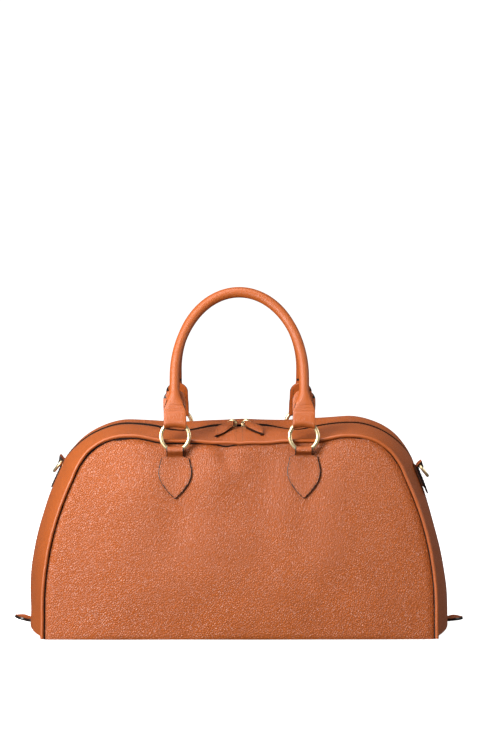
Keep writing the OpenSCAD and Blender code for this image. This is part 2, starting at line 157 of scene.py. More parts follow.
class Body:
    """The bag's outline and skin, worked out once from the frame and the shape's sizes."""

    def __init__(self, shape):
        self.turn = shape.side_turn
        self.foot, self.radius = shape.side_straight, shape.side_radius
        self.slant, self.corner = shape.side_slant, shape.corner_radius
        self.side_bulge, self.top_bulge = shape.side_bulge, shape.top_bulge
        self.swell = shape.panel_swell
        self.curve_x = BASE_HALF - self.radius * (1 - math.cos(self.turn))
        self.curve_z = self.foot + self.radius * math.sin(self.turn)
        self.slant_x = self.curve_x - self.slant * math.sin(self.turn)
        self.slant_z = self.curve_z + self.slant * math.cos(self.turn)
        self.shoulder = self.slant_x - self.corner * math.cos(self.turn)
        self.lengths = (
            self.foot, self.radius * self.turn, self.slant,
            self.corner * (math.pi / 2 - self.turn), self.shoulder)
        self.to_shoulder = sum(self.lengths[:4])
        self.to_middle = sum(self.lengths)

    def outline(self, s):
        """The side's outline at s metres from its foot, as x, z and the direction of its normal."""
        foot, curve, slant, corner, _ = self.lengths
        if s < foot:
            return BASE_HALF, s, 0.0
        s -= foot
        if s < curve:
            t = s / self.radius
            return BASE_HALF - self.radius * (1 - math.cos(t)), self.foot + self.radius * math.sin(t), t
        s -= curve
        if s < slant:
            return self.curve_x - s * math.sin(self.turn), self.curve_z + s * math.cos(self.turn), self.turn
        s -= slant
        if s < corner:
            t = self.turn + s / self.corner
            return (self.shoulder + self.corner * math.cos(t),
                    TOP_Z - self.corner + self.corner * math.sin(t), t)
        return self.shoulder - (s - corner), TOP_Z, math.pi / 2

    def half_at(self, z):
        """Half the panel's width at a height."""
        if z < self.foot:
            return BASE_HALF
        if z < self.curve_z:
            return BASE_HALF - self.radius * (1 - math.cos(math.asin((z - self.foot) / self.radius)))
        if z < self.slant_z:
            return self.curve_x - (z - self.curve_z) * math.tan(self.turn)
        rise = min(z, TOP_Z) - (TOP_Z - self.corner)
        return self.shoulder + math.sqrt(max(0.0, self.corner ** 2 - rise ** 2))

    def bulge(self, t):
        return self.top_bulge + (self.side_bulge - self.top_bulge) * math.cos(t) ** 4

    def settle(self, p):
        """Lets the top of the bag sag along its front and beside the sliders; the back stands up a little."""
        top = smooth(0.19, 0.236, p.z)
        if top == 0.0:
            return p
        front = smooth(0.030, 0.066, -p.y)
        drop = front * (0.0034 - 0.0062 * smooth(0.09, 0.13, abs(p.x)) + 0.0036 * bell(p.x, -0.016, 0.013))
        drop += 0.0095 * bell(abs(p.x), 0.072, 0.032) * bell(p.y, 0.0, 0.028)
        drop += 0.0024 * bell(p.x, 0.0, 0.022) * bell(p.y, -0.004, 0.018)
        drop += 0.0014 * smooth(0.010, -0.010, p.y) * (1 - 1.6 * smooth(0.03, 0.06, p.x))
        drop -= (0.0044 + 0.0040 * smooth(0.02, 0.10, p.x)) * bell(p.y, 0.034, 0.024)
        p.z -= drop * top
        return p

    def skin(self, sx, s, y, under=0.0):
        """A point of the gusset: sx is the end's sign, s the distance from the foot, y the depth."""
        x, z, t = self.outline(min(s, self.to_middle))
        w = min(1.0, abs(y) / depth_at(z))
        rise = self.bulge(t) * (1 - w * w)
        ripple = noise.noise(Vector((sx * x * 11, y * 16, z * 11))) * 0.0022
        ripple += noise.noise(Vector((sx * x * 30 + 7, y * 34, z * 30))) * 0.0007
        if sx > 0:
            rise -= 0.0052 * bell(z, 0.120, 0.070) * math.cos(t) * (1 - w * w)
        rise += ripple * (1 - w ** 4) * smooth(0.0, 0.03, s) - under
        return self.settle(Vector((sx * (x + rise * math.cos(t)), y, z + rise * math.sin(t))))

    def seam_y(self, s):
        """Depth of the seam between the gusset and a panel."""
        return depth_at(self.outline(s)[1]) - 0.0012

    def panel_out(self, sy, x, z):
        """How far a panel's skin stands out past its flat plane at a place."""
        half = self.half_at(z)
        across = max(0.0, 1 - abs(x / half) ** 2.4)
        up = math.sin(math.pi * min(1.0, max(0.0, (z + 0.012) / 0.268))) ** 0.75
        out = self.swell * across * up
        for ring_x in (-RING_FOOT.x, RING_FOOT.x):
            out -= 0.0036 * bell(x, ring_x, 0.026) * smooth(0.075, 0.16, z)
        out -= 0.0030 * bell(x, 0.012, 0.052) * bell(z, 0.205, 0.034)
        if sy < 0:
            out -= 0.0034 * bell(x + 0.55 * (z - 0.235), -0.020, 0.011) * smooth(0.205, 0.232, z)
            out += 0.0030 * bell(x, -0.125, 0.045) * bell(z, 0.185, 0.045)
            out += 0.0034 * bell(x, -0.030, 0.030) * bell(z, 0.200, 0.030)
            out -= 0.0024 * bell(x, 0.035, 0.022) * bell(z, 0.180, 0.055)
        out += noise.noise(Vector((x * 8 + sy, z * 8, sy * 3))) * 0.0022 * across
        out += noise.noise(Vector((x * 22, z * 22, sy * 5))) * 0.0008 * across
        edge = min(half - abs(x), TOP_Z - z, z + 0.006)
        roll = 1 - smooth(0.0, 0.011, edge)
        seam = smooth(0.004, 0.0, min(half - abs(x), TOP_Z - z))
        return out * (1 - roll) - 0.0010 * roll - 0.0016 * seam

    def panel(self, sy, x, z, proud=0.0):
        """A point of the front (sy -1) or back (sy 1) panel's skin."""
        out = self.panel_out(sy, x, z) + proud
        return self.settle(Vector((x, sy * (depth_at(z) + out), z)))


def depth_at(z):
    """Half the bag's depth at a height: the panels lean inwards."""
    return BASE_DEPTH - z * math.tan(LEAN)


# ---------------------------------------------------------------- modelling helpers

def clear_selection():
    if bpy.context.object and bpy.context.object.mode != "OBJECT":
        bpy.ops.object.mode_set(mode="OBJECT")
    bpy.ops.object.select_all(action="DESELECT")


def only(obj):
    clear_selection()
    obj.select_set(True)
    bpy.context.view_layer.objects.active = obj
    return obj


def named(name):
    """Names the new primitive and applies its place to its mesh."""
    obj = bpy.context.object
    obj.name = obj.data.name = name
    only(obj)
    bpy.ops.object.transform_apply(location=True, rotation=True, scale=True)
    return obj


def in_edit(obj, *steps):
    """Runs edit-mode steps on the whole mesh; each step is an operator and its settings."""
    only(obj)
    bpy.ops.object.mode_set(mode="EDIT")
    for operator, settings in steps:
        bpy.ops.mesh.select_all(action="SELECT")
        operator(**settings)
    bpy.ops.object.mode_set(mode="OBJECT")
    return obj


def apply_modifier(obj, kind, **settings):
    only(obj)
    modifier = obj.modifiers.new(kind.title(), kind)
    for key, value in settings.items():
        setattr(modifier, key, value)
    bpy.ops.object.modifier_apply(modifier=modifier.name)
    return obj


def shade(obj, angle=35):
    only(obj)
    bpy.ops.object.shade_smooth_by_angle(angle=math.radians(angle))
    return obj


def grid_piece(name, nu, nv, place, double=False, painted=None):
    """A grid primitive laid over a surface: place(u, v) gives each vertex, u and v from 0 to 1.

    Where painted(u, v) holds, the faces take the edge's paint.
    """
    clear_selection()
    bpy.ops.mesh.primitive_grid_add(x_subdivisions=nu, y_subdivisions=nv, size=1, calc_uvs=True)
    obj = named(name)
    for v in obj.data.vertices:
        v.co = place(v.co.x + 0.5, v.co.y + 0.5)
    if painted:
        for material in leather_pair():
            obj.data.materials.append(material)
        for face in obj.data.polygons:
            u = sum(v % (nu + 1) for v in face.vertices) / 4 / nu
            v = sum(v // (nu + 1) for v in face.vertices) / 4 / nv
            face.material_index = int(painted(u, v))
    steps = [(bpy.ops.mesh.remove_doubles, {"threshold": 1e-5})] if double else []
    return in_edit(obj, *steps, (bpy.ops.mesh.normals_make_consistent, {"inside": False}))


def face_out(obj, towards):
    """Turns a sheet so that its faces look the same way as towards(centre)."""
    votes = sum(f.normal.dot(towards(f.center)) * f.area for f in obj.data.polygons)
    if votes < 0:
        in_edit(obj, (bpy.ops.mesh.flip_normals, {}))
    return obj


def thicken(obj, thickness, rim=True, bevel=0.0):
    """Gives a sheet its thickness, inwards; the cut rim is painted."""
    while rim and len(obj.data.materials) < 2:
        obj.data.materials.append(leather_pair()[len(obj.data.materials)])
    apply_modifier(obj, "SOLIDIFY", thickness=thickness, offset=-1, use_even_offset=False,
                   material_offset_rim=1 if rim else 0)
    if bevel:
        apply_modifier(obj, "BEVEL", width=bevel, segments=2, limit_method="ANGLE",
                       angle_limit=math.radians(50), harden_normals=False)
    return obj


def edgewise(u, share=0.6):
    """From 0..1 to -1..1, with the steps drawn together near the ends."""
    return (1 - share) * (2 * u - 1) + share * math.sin(math.pi * (u - 0.5))


def lofted(name, sections, closed=False):
    """A closed form through rings of points, made from a grid rolled up and capped."""
    n, m = len(sections), len(sections[0])

    def place(u, v):
        i, k = round(u * n) if closed else round(u * (n - 1)), round(v * m)
        return sections[i % n][k % m]

    obj = grid_piece(name, n if closed else n - 1, m, place, double=True)
    if not closed:
        only(obj)
        bpy.ops.object.mode_set(mode="EDIT")
        bpy.ops.mesh.select_all(action="DESELECT")
        bpy.ops.mesh.select_non_manifold(extend=False)
        bpy.ops.mesh.fill_holes(sides=0)
        bpy.ops.mesh.select_all(action="SELECT")
        bpy.ops.mesh.normals_make_consistent(inside=False)
        bpy.ops.object.mode_set(mode="OBJECT")
    return obj


def frames_along(points, closed=False):
    """Tangent and two cross directions at each point, turned as little as possible."""
    n = len(points)
    tangents = []
    for i in range(n):
        a = points[(i - 1) % n] if closed or i > 0 else points[i]
        b = points[(i + 1) % n] if closed or i < n - 1 else points[i]
        tangents.append((b - a).normalized())
    side = tangents[0].orthogonal().normalized()
    out = []
    for t in tangents:
        side = (side - t * side.dot(t)).normalized()
        out.append((t, side, t.cross(side)))
    return out


def tube(name, points, radius, sides=10, closed=False):
    """A round tube along points; radius may be a number or a function of the share of the way."""
    n = len(points)
    rings = []
    for i, (p, (_, a, b)) in enumerate(zip(points, frames_along(points, closed))):
        r = radius(i / (n - 1)) if callable(radius) else radius
        rings.append([p + a * r * math.cos(2 * math.pi * k / sides) + b * r * math.sin(2 * math.pi * k / sides)
                      for k in range(sides)])
    return lofted(name, rings, closed)


def joined(name, objs):
    """Joins several objects into one piece."""
    clear_selection()
    for obj in objs:
        obj.select_set(True)
    bpy.context.view_layer.objects.active = objs[0]
    if len(objs) > 1:
        bpy.ops.object.join()
    objs[0].name = objs[0].data.name = name
    return objs[0]


def along(points, pitch, start=None):
    """Places spaced by pitch along a line of points, each with its direction."""
    places, left = [], pitch / 2 if start is None else start
    for a, b in zip(points, points[1:]):
        step = (b - a).length
        while left < step:
            places.append((a.lerp(b, left / step), (b - a).normalized()))
            left += pitch
        left -= step
    return places


def copies(name, template, matrices):
    """Many small copies of a template's mesh, as one piece."""
    verts, faces = [], []
    base = [v.co.copy() for v in template.data.vertices]
    polygons = [tuple(p.vertices) for p in template.data.polygons]
    for m in matrices:
        start = len(verts)
        verts.extend(m @ co for co in base)
        faces.extend(tuple(start + i for i in p) for p in polygons)
    mesh = bpy.data.meshes.new(name)
    mesh.from_pydata(verts, [], faces)
    obj = bpy.data.objects.new(name, mesh)
    bpy.context.scene.collection.objects.link(obj)
    return shade(obj, 60)


def turned(place, direction, up):
    """A matrix with X along direction and Z near up."""
    side = up.cross(direction).normalized()
    rise = direction.cross(side).normalized()
    return Matrix.Translation(place) @ Matrix((direction, side, rise)).transposed().to_4x4()


def stitch_template():
    """One stitch: a short sunken capsule along X."""
    clear_selection()
    bpy.ops.mesh.primitive_uv_sphere_add(segments=6, ring_count=5, radius=1)
    obj = named("stitch_template")
    pitch = bpy.context.scene.bag_finish.stitch
    for v in obj.data.vertices:
        x, y, z = v.co
        v.co = Vector((z * pitch * 0.36, x * 0.00038, y * 0.00032 * (1 if y > 0 else 2)))
    return in_edit(obj, (bpy.ops.mesh.normals_make_consistent, {"inside": False}))


def stitches(name, lines, up):
    """Rows of stitches along lines of points; up(place) is the leather's outward direction."""
    template = stitch_template()
    pitch = bpy.context.scene.bag_finish.stitch
    matrices = [turned(p, d, up(p)) for line in lines for p, d in along(line, pitch)]
    obj = copies(name, template, matrices)
    bpy.data.objects.remove(template)
    return obj


def finish_piece(obj, body, slot, *materials, replaces=(), swing=None):
    """Paints a piece and puts it on its body; given a swing, it bakes its place into its mesh instead. Hides the
    frame's nodes it replaces. slot is not used.
    """
    for index, material in enumerate(materials):
        if index < len(obj.data.materials):
            obj.data.materials[index] = material
        else:
            obj.data.materials.append(material)
    if swing:
        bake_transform(obj)
    else:
        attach(obj, body)
    if replaces:
        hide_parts(*replaces)
    return obj


# ---------------------------------------------------------------- finishes

class Finish:
    """A material's nodes, laid out by name on the object's own coordinates."""

    def __init__(self, name, roughness, metallic=0.0):
        self.material = bpy.data.materials.new(name)
        self.material.use_nodes = True
        self.tree = self.material.node_tree
        self.shader = self.tree.nodes["Principled BSDF"]
        self.place = self.node("ShaderNodeTexCoord").outputs["Object"]
        self.set(Roughness=roughness, Metallic=metallic)

    def node(self, kind, inputs=(), **settings):
        node = self.tree.nodes.new(kind)
        for key, value in settings.items():
            setattr(node, key, value)
        for key, value in dict(inputs).items():
            self.feed(node.inputs[key], value)
        return node

    def feed(self, socket, value):
        if isinstance(value, bpy.types.NodeSocket):
            self.tree.links.new(value, socket)
        else:
            socket.default_value = value

    def set(self, **values):
        """Sets the shader's sockets; an underscore in a key stands for a space."""
        for key, value in values.items():
            self.feed(self.shader.inputs[key.replace("_", " ")], value)

    def noise(self, scale, detail=2.0, place=None, stretch=None):
        place = self.stretched(stretch) if stretch else (place or self.place)
        return self.node("ShaderNodeTexNoise", {"Vector": place, "Scale": scale, "Detail": detail}).outputs["Fac"]

    def stretched(self, scale):
        return self.node("ShaderNodeMapping", {"Vector": self.place, "Scale": scale}).outputs["Vector"]

    def maths(self, operation, a, b):
        return self.node("ShaderNodeMath", {0: a, 1: b}, operation=operation).outputs[0]

    def span(self, value, low, high, to_low=0.0, to_high=1.0):
        """Maps a value's stretch from low to high onto another stretch, clamped."""
        inputs = {"Value": value, "From Min": low, "From Max": high, "To Min": to_low, "To Max": to_high}
        return self.node("ShaderNodeMapRange", inputs).outputs["Result"]

    def tinted(self, factor, low, high):
        """A colour between low and high by factor."""
        mix = self.node("ShaderNodeMix", data_type="RGBA")
        self.feed(mix.inputs[0], factor)
        self.feed(mix.inputs[6], low)
        self.feed(mix.inputs[7], high)
        return mix.outputs[2]

    def bumped(self, height, depth, strength=1.0, before=None):
        inputs = {"Height": height, "Distance": depth, "Strength": strength}
        if before is not None:
            inputs["Normal"] = before
        return self.node("ShaderNodeBump", inputs).outputs["Normal"]


def shaded(colour, factor, warm=0.0):
    """A colour made lighter or darker, and a little warmer or cooler."""
    r, g, b, a = colour
    return (min(1.0, r * factor), min(1.0, g * factor * (1 - warm)), min(1.0, b * factor * (1 - 2 * warm)), a)


def leather_finish(name, colour, grain, roughness=0.40, depth=0.00046, crease_shade=0.66):
    """Pebbled leather: irregular cells with soft creases between them, the creases painted darker as shade, and a
    mottled tone.
    """
    f = Finish(name, roughness)
    drift = f.node("ShaderNodeTexNoise", {"Vector": f.place, "Scale": 0.45 / grain, "Detail": 2.0})
    warp = f.node("ShaderNodeVectorMath", {0: drift.outputs["Color"], 1: (0.5, 0.5, 0.5)}, operation="SUBTRACT")
    warp = f.node("ShaderNodeVectorMath", {0: warp.outputs[0], "Scale": grain * 1.3}, operation="SCALE")
    place = f.node("ShaderNodeVectorMath", {0: f.place, 1: warp.outputs[0]}, operation="ADD").outputs[0]
    cells = f.node(
        "ShaderNodeTexVoronoi", {"Vector": place, "Scale": 1 / grain}, feature="DISTANCE_TO_EDGE").outputs["Distance"]
    small = f.node(
        "ShaderNodeTexVoronoi", {"Vector": place, "Scale": 2.3 / grain}, feature="SMOOTH_F1").outputs["Distance"]
    pebble = f.span(cells, 0.0, 0.30)
    mottle = f.noise(16.0, 4.0)
    broad = f.noise(5.0, 2.0)
    tone = f.tinted(f.span(broad, 0.35, 0.68), shaded(colour, 0.90, 0.03), shaded(colour, 1.08, -0.02))
    tone = f.tinted(f.span(mottle, 0.30, 0.72, 0.0, 0.5), tone, shaded(colour, 0.86, 0.02))
    # The hollows between the pebbles are painted darker: painted shade in the grain.
    shaded_grain_colour = f.tinted(f.span(cells, 0.0, 0.12), shaded(colour, crease_shade, 0.05), tone)
    f.set(Base_Color=shaded_grain_colour)
    f.set(Roughness=f.span(mottle, 0.25, 0.75, roughness - 0.05, roughness + 0.07))
    height = f.maths("SUBTRACT", pebble, f.maths("MULTIPLY", small, 0.35))
    pores = f.bumped(f.noise(2600.0, 1.0), 0.00003)
    f.set(Normal=f.bumped(height, depth, 0.9, pores))
    f.set(Specular_IOR_Level=0.5)
    return f.material


def edge_finish(name, colour):
    """Painted leather edge: dark, smooth and slightly uneven."""
    f = Finish(name, 0.36)
    f.set(Base_Color=f.tinted(f.span(f.noise(180.0, 3.0), 0.4, 0.7), colour, shaded(colour, 2.6)))
    f.set(Normal=f.bumped(f.noise(420.0, 2.0), 0.00012, 0.6))
    return f.material


def thread_finish(name, colour):
    """Waxed thread: two plies with a fine twist."""
    f = Finish(name, 0.55)
    twist = f.node("ShaderNodeTexWave", {"Vector": f.place, "Scale": 900.0, "Distortion": 2.0}).outputs["Fac"]
    f.set(Base_Color=f.tinted(twist, shaded(colour, 0.7), colour))
    f.set(Normal=f.bumped(twist, 0.0001, 0.7))
    return f.material


def metal_finish(name, colour, roughness=0.3):
    """Polished pale gold plating with faint handling marks."""
    f = Finish(name, roughness, 0.9)
    marks = f.noise(70.0, 5.0)
    f.set(Base_Color=f.tinted(f.span(marks, 0.35, 0.7), shaded(colour, 0.93, 0.02), colour))
    f.set(Roughness=f.span(marks, 0.3, 0.75, roughness - 0.05, roughness + 0.12))
    f.set(Normal=f.bumped(f.noise(500.0, 2.0, stretch=(1.0, 1.0, 0.3)), 0.000006, 0.4))
    return f.material


def woven_finish(name, colour, pitch, roughness=0.85, depth=0.0002, sheen=0.25):
    """Plain weave: two crossed sets of ridges, with slubs and uneven dye."""
    f = Finish(name, roughness)
    scale = math.pi / (10 * pitch)
    ridges = []
    for axis in ("X", "Z"):
        wave = f.node("ShaderNodeTexWave", {"Vector": f.place, "Scale": scale, "Distortion": 0.6,
                                            "Detail": 1.0, "Detail Scale": 2.0}, bands_direction=axis)
        ridges.append(wave.outputs["Fac"])
    weave = f.maths("MAXIMUM", ridges[0], ridges[1])
    slub = f.noise(60.0, 3.0, stretch=(1.0, 1.0, 4.0))
    tone = f.tinted(f.span(slub, 0.3, 0.7), shaded(colour, 0.84), colour)
    f.set(Base_Color=f.tinted(f.span(weave, 0.2, 0.8), shaded(colour, 0.62), tone))
    f.set(Normal=f.bumped(weave, depth, 0.7))
    f.set(Sheen_Weight=sheen, Sheen_Roughness=0.5)
    return f.material


def nylon_finish(name, colour):
    """Zip coil: black nylon with a dull gloss and dust in its hollows."""
    f = Finish(name, 0.34)
    f.set(Base_Color=f.tinted(f.span(f.noise(240.0, 3.0), 0.45, 0.75), colour, shaded(colour, 3.2)))
    f.set(Normal=f.bumped(f.noise(700.0, 2.0), 0.00006, 0.6))
    return f.material


def board_finish(name, colour):
    """Pressed fibre board: flecked and matt."""
    f = Finish(name, 0.8)
    fleck = f.noise(500.0, 4.0, stretch=(1.0, 3.0, 1.0))
    f.set(Base_Color=f.tinted(f.span(fleck, 0.35, 0.7), shaded(colour, 0.6), shaded(colour, 1.4)))
    f.set(Normal=f.bumped(fleck, 0.0002, 0.8))
    return f.material


def cord_finish(name, colour):
    """Twisted cotton cord."""
    f = Finish(name, 0.85)
    twist = f.node("ShaderNodeTexWave", {"Vector": f.place, "Scale": 60.0, "Distortion": 1.5},
                   bands_direction="DIAGONAL").outputs["Fac"]
    f.set(Base_Color=f.tinted(twist, shaded(colour, 0.6), colour))
    f.set(Normal=f.bumped(twist, 0.0006, 0.8))
    return f.material


def finish(name):
    return bpy.data.materials[name]


def leather_pair():
    return finish("pebbled_leather"), finish("edge_paint")


class BAG_OT_finishes(bpy.types.Operator):
    """Makes the leathers, thread, metal, zip, lining and inner finishes"""
    bl_idname = "bag.finishes"
    bl_label = "Finishes"

    def execute(self, context):
        look = context.scene.bag_finish
        tan = tuple(look.tan)
        leather_finish("pebbled_leather", tan, look.grain)
        leather_finish("tab_leather", shaded(tan, 0.97), look.grain * 0.9, 0.40, 0.00042, 0.70)
        leather_finish("handle_leather", shaded(tan, 0.98), look.grain * 0.8, 0.42, 0.00016, 0.9)
        leather_finish("piping_leather", shaded(tan, 0.95), look.grain * 0.8, 0.42, 0.00012, 0.88)
        # Near-black leather for a band along the panels' edges beside the piping: a painted shadow of the groove
        # between piping and panel.
        leather_finish("painted_seam_shadow", shaded(tan, 0.16), look.grain * 0.8, 0.6, 0.00012)
        leather_finish("backing_leather", (0.30, 0.19, 0.10, 1.0), 0.0012, 0.75, 0.0001)
        edge_finish("edge_paint", tuple(look.edge))
        thread_finish("thread", tuple(look.thread))
        metal_finish("pale_gold", tuple(look.gold))
        woven_finish("cotton_lining", tuple(look.lining), 0.0011)
        woven_finish("zip_tape_weave", (0.016, 0.014, 0.013, 1.0), 0.0006, 0.7, 0.0001, 0.1)
        nylon_finish("zip_nylon", (0.008, 0.008, 0.008, 1.0))
        board_finish("fibre_board", (0.05, 0.045, 0.04, 1.0))
        cord_finish("cotton_cord", (0.55, 0.50, 0.40, 1.0))
        return {"FINISHED"}


# ---------------------------------------------------------------- body leather

def body_shape():
    return Body(bpy.context.scene.bag_shape)


def outwards(centre):
    """Away from the line along the middle of the bag."""
    return Vector((centre.x, 0.0, centre.z - 0.1))


def panel_sheet(name, shape, sy, inset, proud, foot, columns, rows):
    """A sheet with a panel's outline, inset from its edge, and each vertex's distance from that edge."""
    top = shape.to_shoulder

    margins = []

    def place(u, v):
        x, z, t = shape.outline(foot + v * (top - foot))
        x -= inset * math.cos(t)
        z -= inset * math.sin(t)
        across = edgewise(u)
        margins.append(min(x * (1 - abs(across)), TOP_Z - z + 0.006 * smooth(0.15, 0.11, abs(across * x))))
        return shape.panel(sy, across * x, z, proud)

    obj = grid_piece(name, columns, rows, place)
    face_out(obj, lambda c: Vector((0.0, sy, 0.0)))
    return obj, margins


class BAG_OT_panels(bpy.types.Operator):
    """Makes the front and back panels and the base"""
    bl_idname = "bag.panels"
    bl_label = "Panels and base"

    # Width of the band along each panel's edge that takes the painted seam shadow.
    SEAM = 0.0034

    def execute(self, context):
        shape = body_shape()
        thickness = context.scene.bag_shape.leather
        for side, sy in SIDES:
            obj, margins = panel_sheet(f"panel_leather_{side}", shape, sy, 0.0, 0.0, 0.0006, 150, 96)
            for material in (*leather_pair(), finish("painted_seam_shadow")):
                obj.data.materials.append(material)
            # Faces in that band take the dark leather: painted shadow in the groove beside the piping.
            for face in obj.data.polygons:
                if max(margins[v] for v in face.vertices) < self.SEAM:
                    face.material_index = 2
            shade(thicken(obj, thickness), 60)
            finish_piece(obj, "bag", "leather", *leather_pair(), replaces=[f"{side}_panel"])
        base = self.base(shape, thickness)
        finish_piece(base, "bag", "leather", *leather_pair(), replaces=["base_panel"])
        return {"FINISHED"}

    def base(self, shape, thickness):
        """The base: its ends follow the swell of the gussets, and its rim is turned up a little."""
        depth = BASE_DEPTH - 0.0035

        def place(u, v):
            w = 2 * v - 1
            half = BASE_HALF - 0.003 + shape.side_bulge * (1 - w * w)
            x = (2 * u - 1) * half
            edge = min(half - abs(x), depth * (1 - abs(w)))
            return Vector((x, w * depth, 0.0008 * (1 - smooth(0.0, 0.004, edge))))

        obj = grid_piece("base_leather", 110, 48, place)
        face_out(obj, lambda c: Vector((0.0, 0.0, -1.0)))
        return shade(thicken(obj, thickness), 60)


def quarter_strip(name, shape, sx, sy, low, high, under=0.0, foot=0.003, columns=150, rows=22):
    """A quarter of the gusset's skin, foot to middle seam; low and high give its two depths at s."""

    def place(u, v):
        s = foot + u * (shape.to_middle - foot)
        y = low(s) + (high(s) - low(s)) * v
        return shape.skin(sx, s, sy * y, under)

    obj = grid_piece(name, columns, rows, place)
    return face_out(obj, outwards)


def mouth_swing(side, sx):
    """A top piece's flap of the mouth, and the stretch along X over which the piece would pass onto it."""
    start = Vector((sx * 0.144, 0.0, TOP_Z))
    end = Vector((sx * 0.070, 0.0, TOP_Z))
    return f"{side}_flap", start, end


class BAG_OT_gussets(bpy.types.Operator):
    """Makes the gusset: four strips from the foot of an end to the middle seam, with their stitching"""
    bl_idname = "bag.gussets"
    bl_label = "Gussets"

    def execute(self, context):
        shape = body_shape()
        size = context.scene.bag_shape
        for side, sy in SIDES:
            for end, sx in ENDS:
                obj = quarter_strip(
                    f"gusset_leather_{side}_{end}", shape, sx, sy, shape.seam_y, lambda s: size.zip_gap)
                shade(thicken(obj, size.leather), 60)
                finish_piece(obj, "bag", "leather", *leather_pair(), swing=mouth_swing(side, sx),
                             replaces=[f"gusset_{side}_{end}", f"top_gusset_{side}"])
                self.stitching(shape, size, side, sy, end, sx)
        return {"FINISHED"}

    def stitching(self, shape, size, side, sy, end, sx):
        """A row along the zip, and one down each side of the middle seam."""
        inset = size.zip_gap + 0.0030
        steps = [0.02 + (shape.to_middle - 0.024) * i / 260 for i in range(261)]
        zip_row = [shape.skin(sx, s, sy * inset) for s in steps]
        seam_row = [shape.skin(sx, shape.to_middle - 0.004, sy * (0.012 + 0.054 * i / 20)) for i in range(21)]
        obj = stitches(f"gusset_stitches_{side}_{end}", [zip_row, seam_row], outwards)
        finish_piece(obj, "bag", "leather", finish("thread"), swing=mouth_swing(side, sx))


class BAG_OT_piping(bpy.types.Operator):
    """Makes the piping along the seam round each panel"""
    bl_idname = "bag.piping"
    bl_label = "Piping"

    def execute(self, context):
        shape = body_shape()
        radius = context.scene.bag_shape.piping
        for side, sy in SIDES:
            half = [self.centre(shape, sy, 0.0015 + (shape.to_middle - 0.0015) * i / 170) for i in range(171)]
            points = half + [Vector((-p.x, p.y, p.z)) for p in half[-2::-1]]
            obj = shade(tube(f"piping_{side}", points, radius, 12), 60)
            finish_piece(obj, "bag", "leather", finish("piping_leather"), replaces=[f"{side}_piping"])
        return {"FINISHED"}

    def centre(self, shape, sy, s):
        x, z, t = shape.outline(s)
        welt = 0.0010
        ripple = noise.noise(Vector((s * 60, sy, 3.0))) * 0.0003
        p = Vector((x + (welt + ripple) * math.cos(t), sy * (depth_at(z) + 0.0010), z + (welt + ripple) * math.sin(t)))
        return shape.settle(p)


# ---------------------------------------------------------------- zip

def tooth_template():
    """One turn of the coil: a rounded bar across the zip, longer on its own side."""
    clear_selection()
    bpy.ops.mesh.primitive_cube_add(size=1)
    obj = named("tooth_template")
    for v in obj.data.vertices:
        v.co = Vector((v.co.x * 0.0017, 0.0017 + v.co.y * 0.0042, v.co.z * 0.0022))
    only(obj)
    return apply_modifier(obj, "BEVEL", width=0.0006, segments=1, limit_method="NONE")


class BAG_OT_zip(bpy.types.Operator):
    """Makes the zip: four tapes and the four runs of teeth that close them"""
    bl_idname = "bag.zip"
    bl_label = "Zip"

    def execute(self, context):
        shape = body_shape()
        size = context.scene.bag_shape
        foot = 0.016
        pitch = 0.0025
        count = int((shape.to_middle - foot) / pitch)
        template = tooth_template()
        for side, sy in SIDES:
            for end, sx in ENDS:
                tape = quarter_strip(
                    f"zip_tape_{side}_{end}", shape, sx, sy, lambda s: 0.014, lambda s: 0.0022,
                    size.leather + 0.0004, foot, 140, 4)
                shade(thicken(tape, 0.0007, False), 60)
                finish_piece(tape, "bag", "zip_tape", finish("zip_tape_weave"), swing=mouth_swing(side, sx),
                             replaces=[f"side_zip_tape_{end}", f"zip_tape_{side}"])
                offset = 0.25 if sy < 0 else 0.75
                matrices = [self.tooth(shape, sx, sy, foot + (i + offset) * pitch) for i in range(count)]
                teeth = copies(f"zip_teeth_{side}_{end}", template, matrices)
                in_edit(teeth, (bpy.ops.mesh.normals_make_consistent, {"inside": False}))
                finish_piece(teeth, "bag", "zip_teeth", finish("zip_nylon"), swing=mouth_swing(side, sx),
                             replaces=[f"side_zip_teeth_{end}", f"zip_teeth_{side}"])
        bpy.data.objects.remove(template)
        return {"FINISHED"}

    def tooth(self, shape, sx, sy, s):
        under = 0.0022
        centre = shape.skin(sx, s, 0.0, under)
        ahead = shape.skin(sx, s + 0.001, 0.0, under)
        along_x = (ahead - centre).normalized()
        across = Vector((0.0, sy, 0.0))
        up = along_x.cross(across)
        if up.dot(outwards(centre)) < 0:
            up.negate()
        return Matrix.Translation(centre) @ Matrix((along_x, across, up)).transposed().to_4x4()


def block(name, low, high, bevel=0.0, taper=None):
    """A box primitive between two corners, its vertices moved by taper(co) and its edges rounded."""
    clear_selection()
    low, high = Vector(low), Vector(high)
    bpy.ops.mesh.primitive_cube_add(size=1, location=(low + high) / 2, scale=high - low)
    obj = named(name)
    if taper:
        for v in obj.data.vertices:
            v.co = taper(v.co)
    if bevel:
        apply_modifier(obj, "BEVEL", width=bevel, segments=3, limit_method="NONE")
    return obj


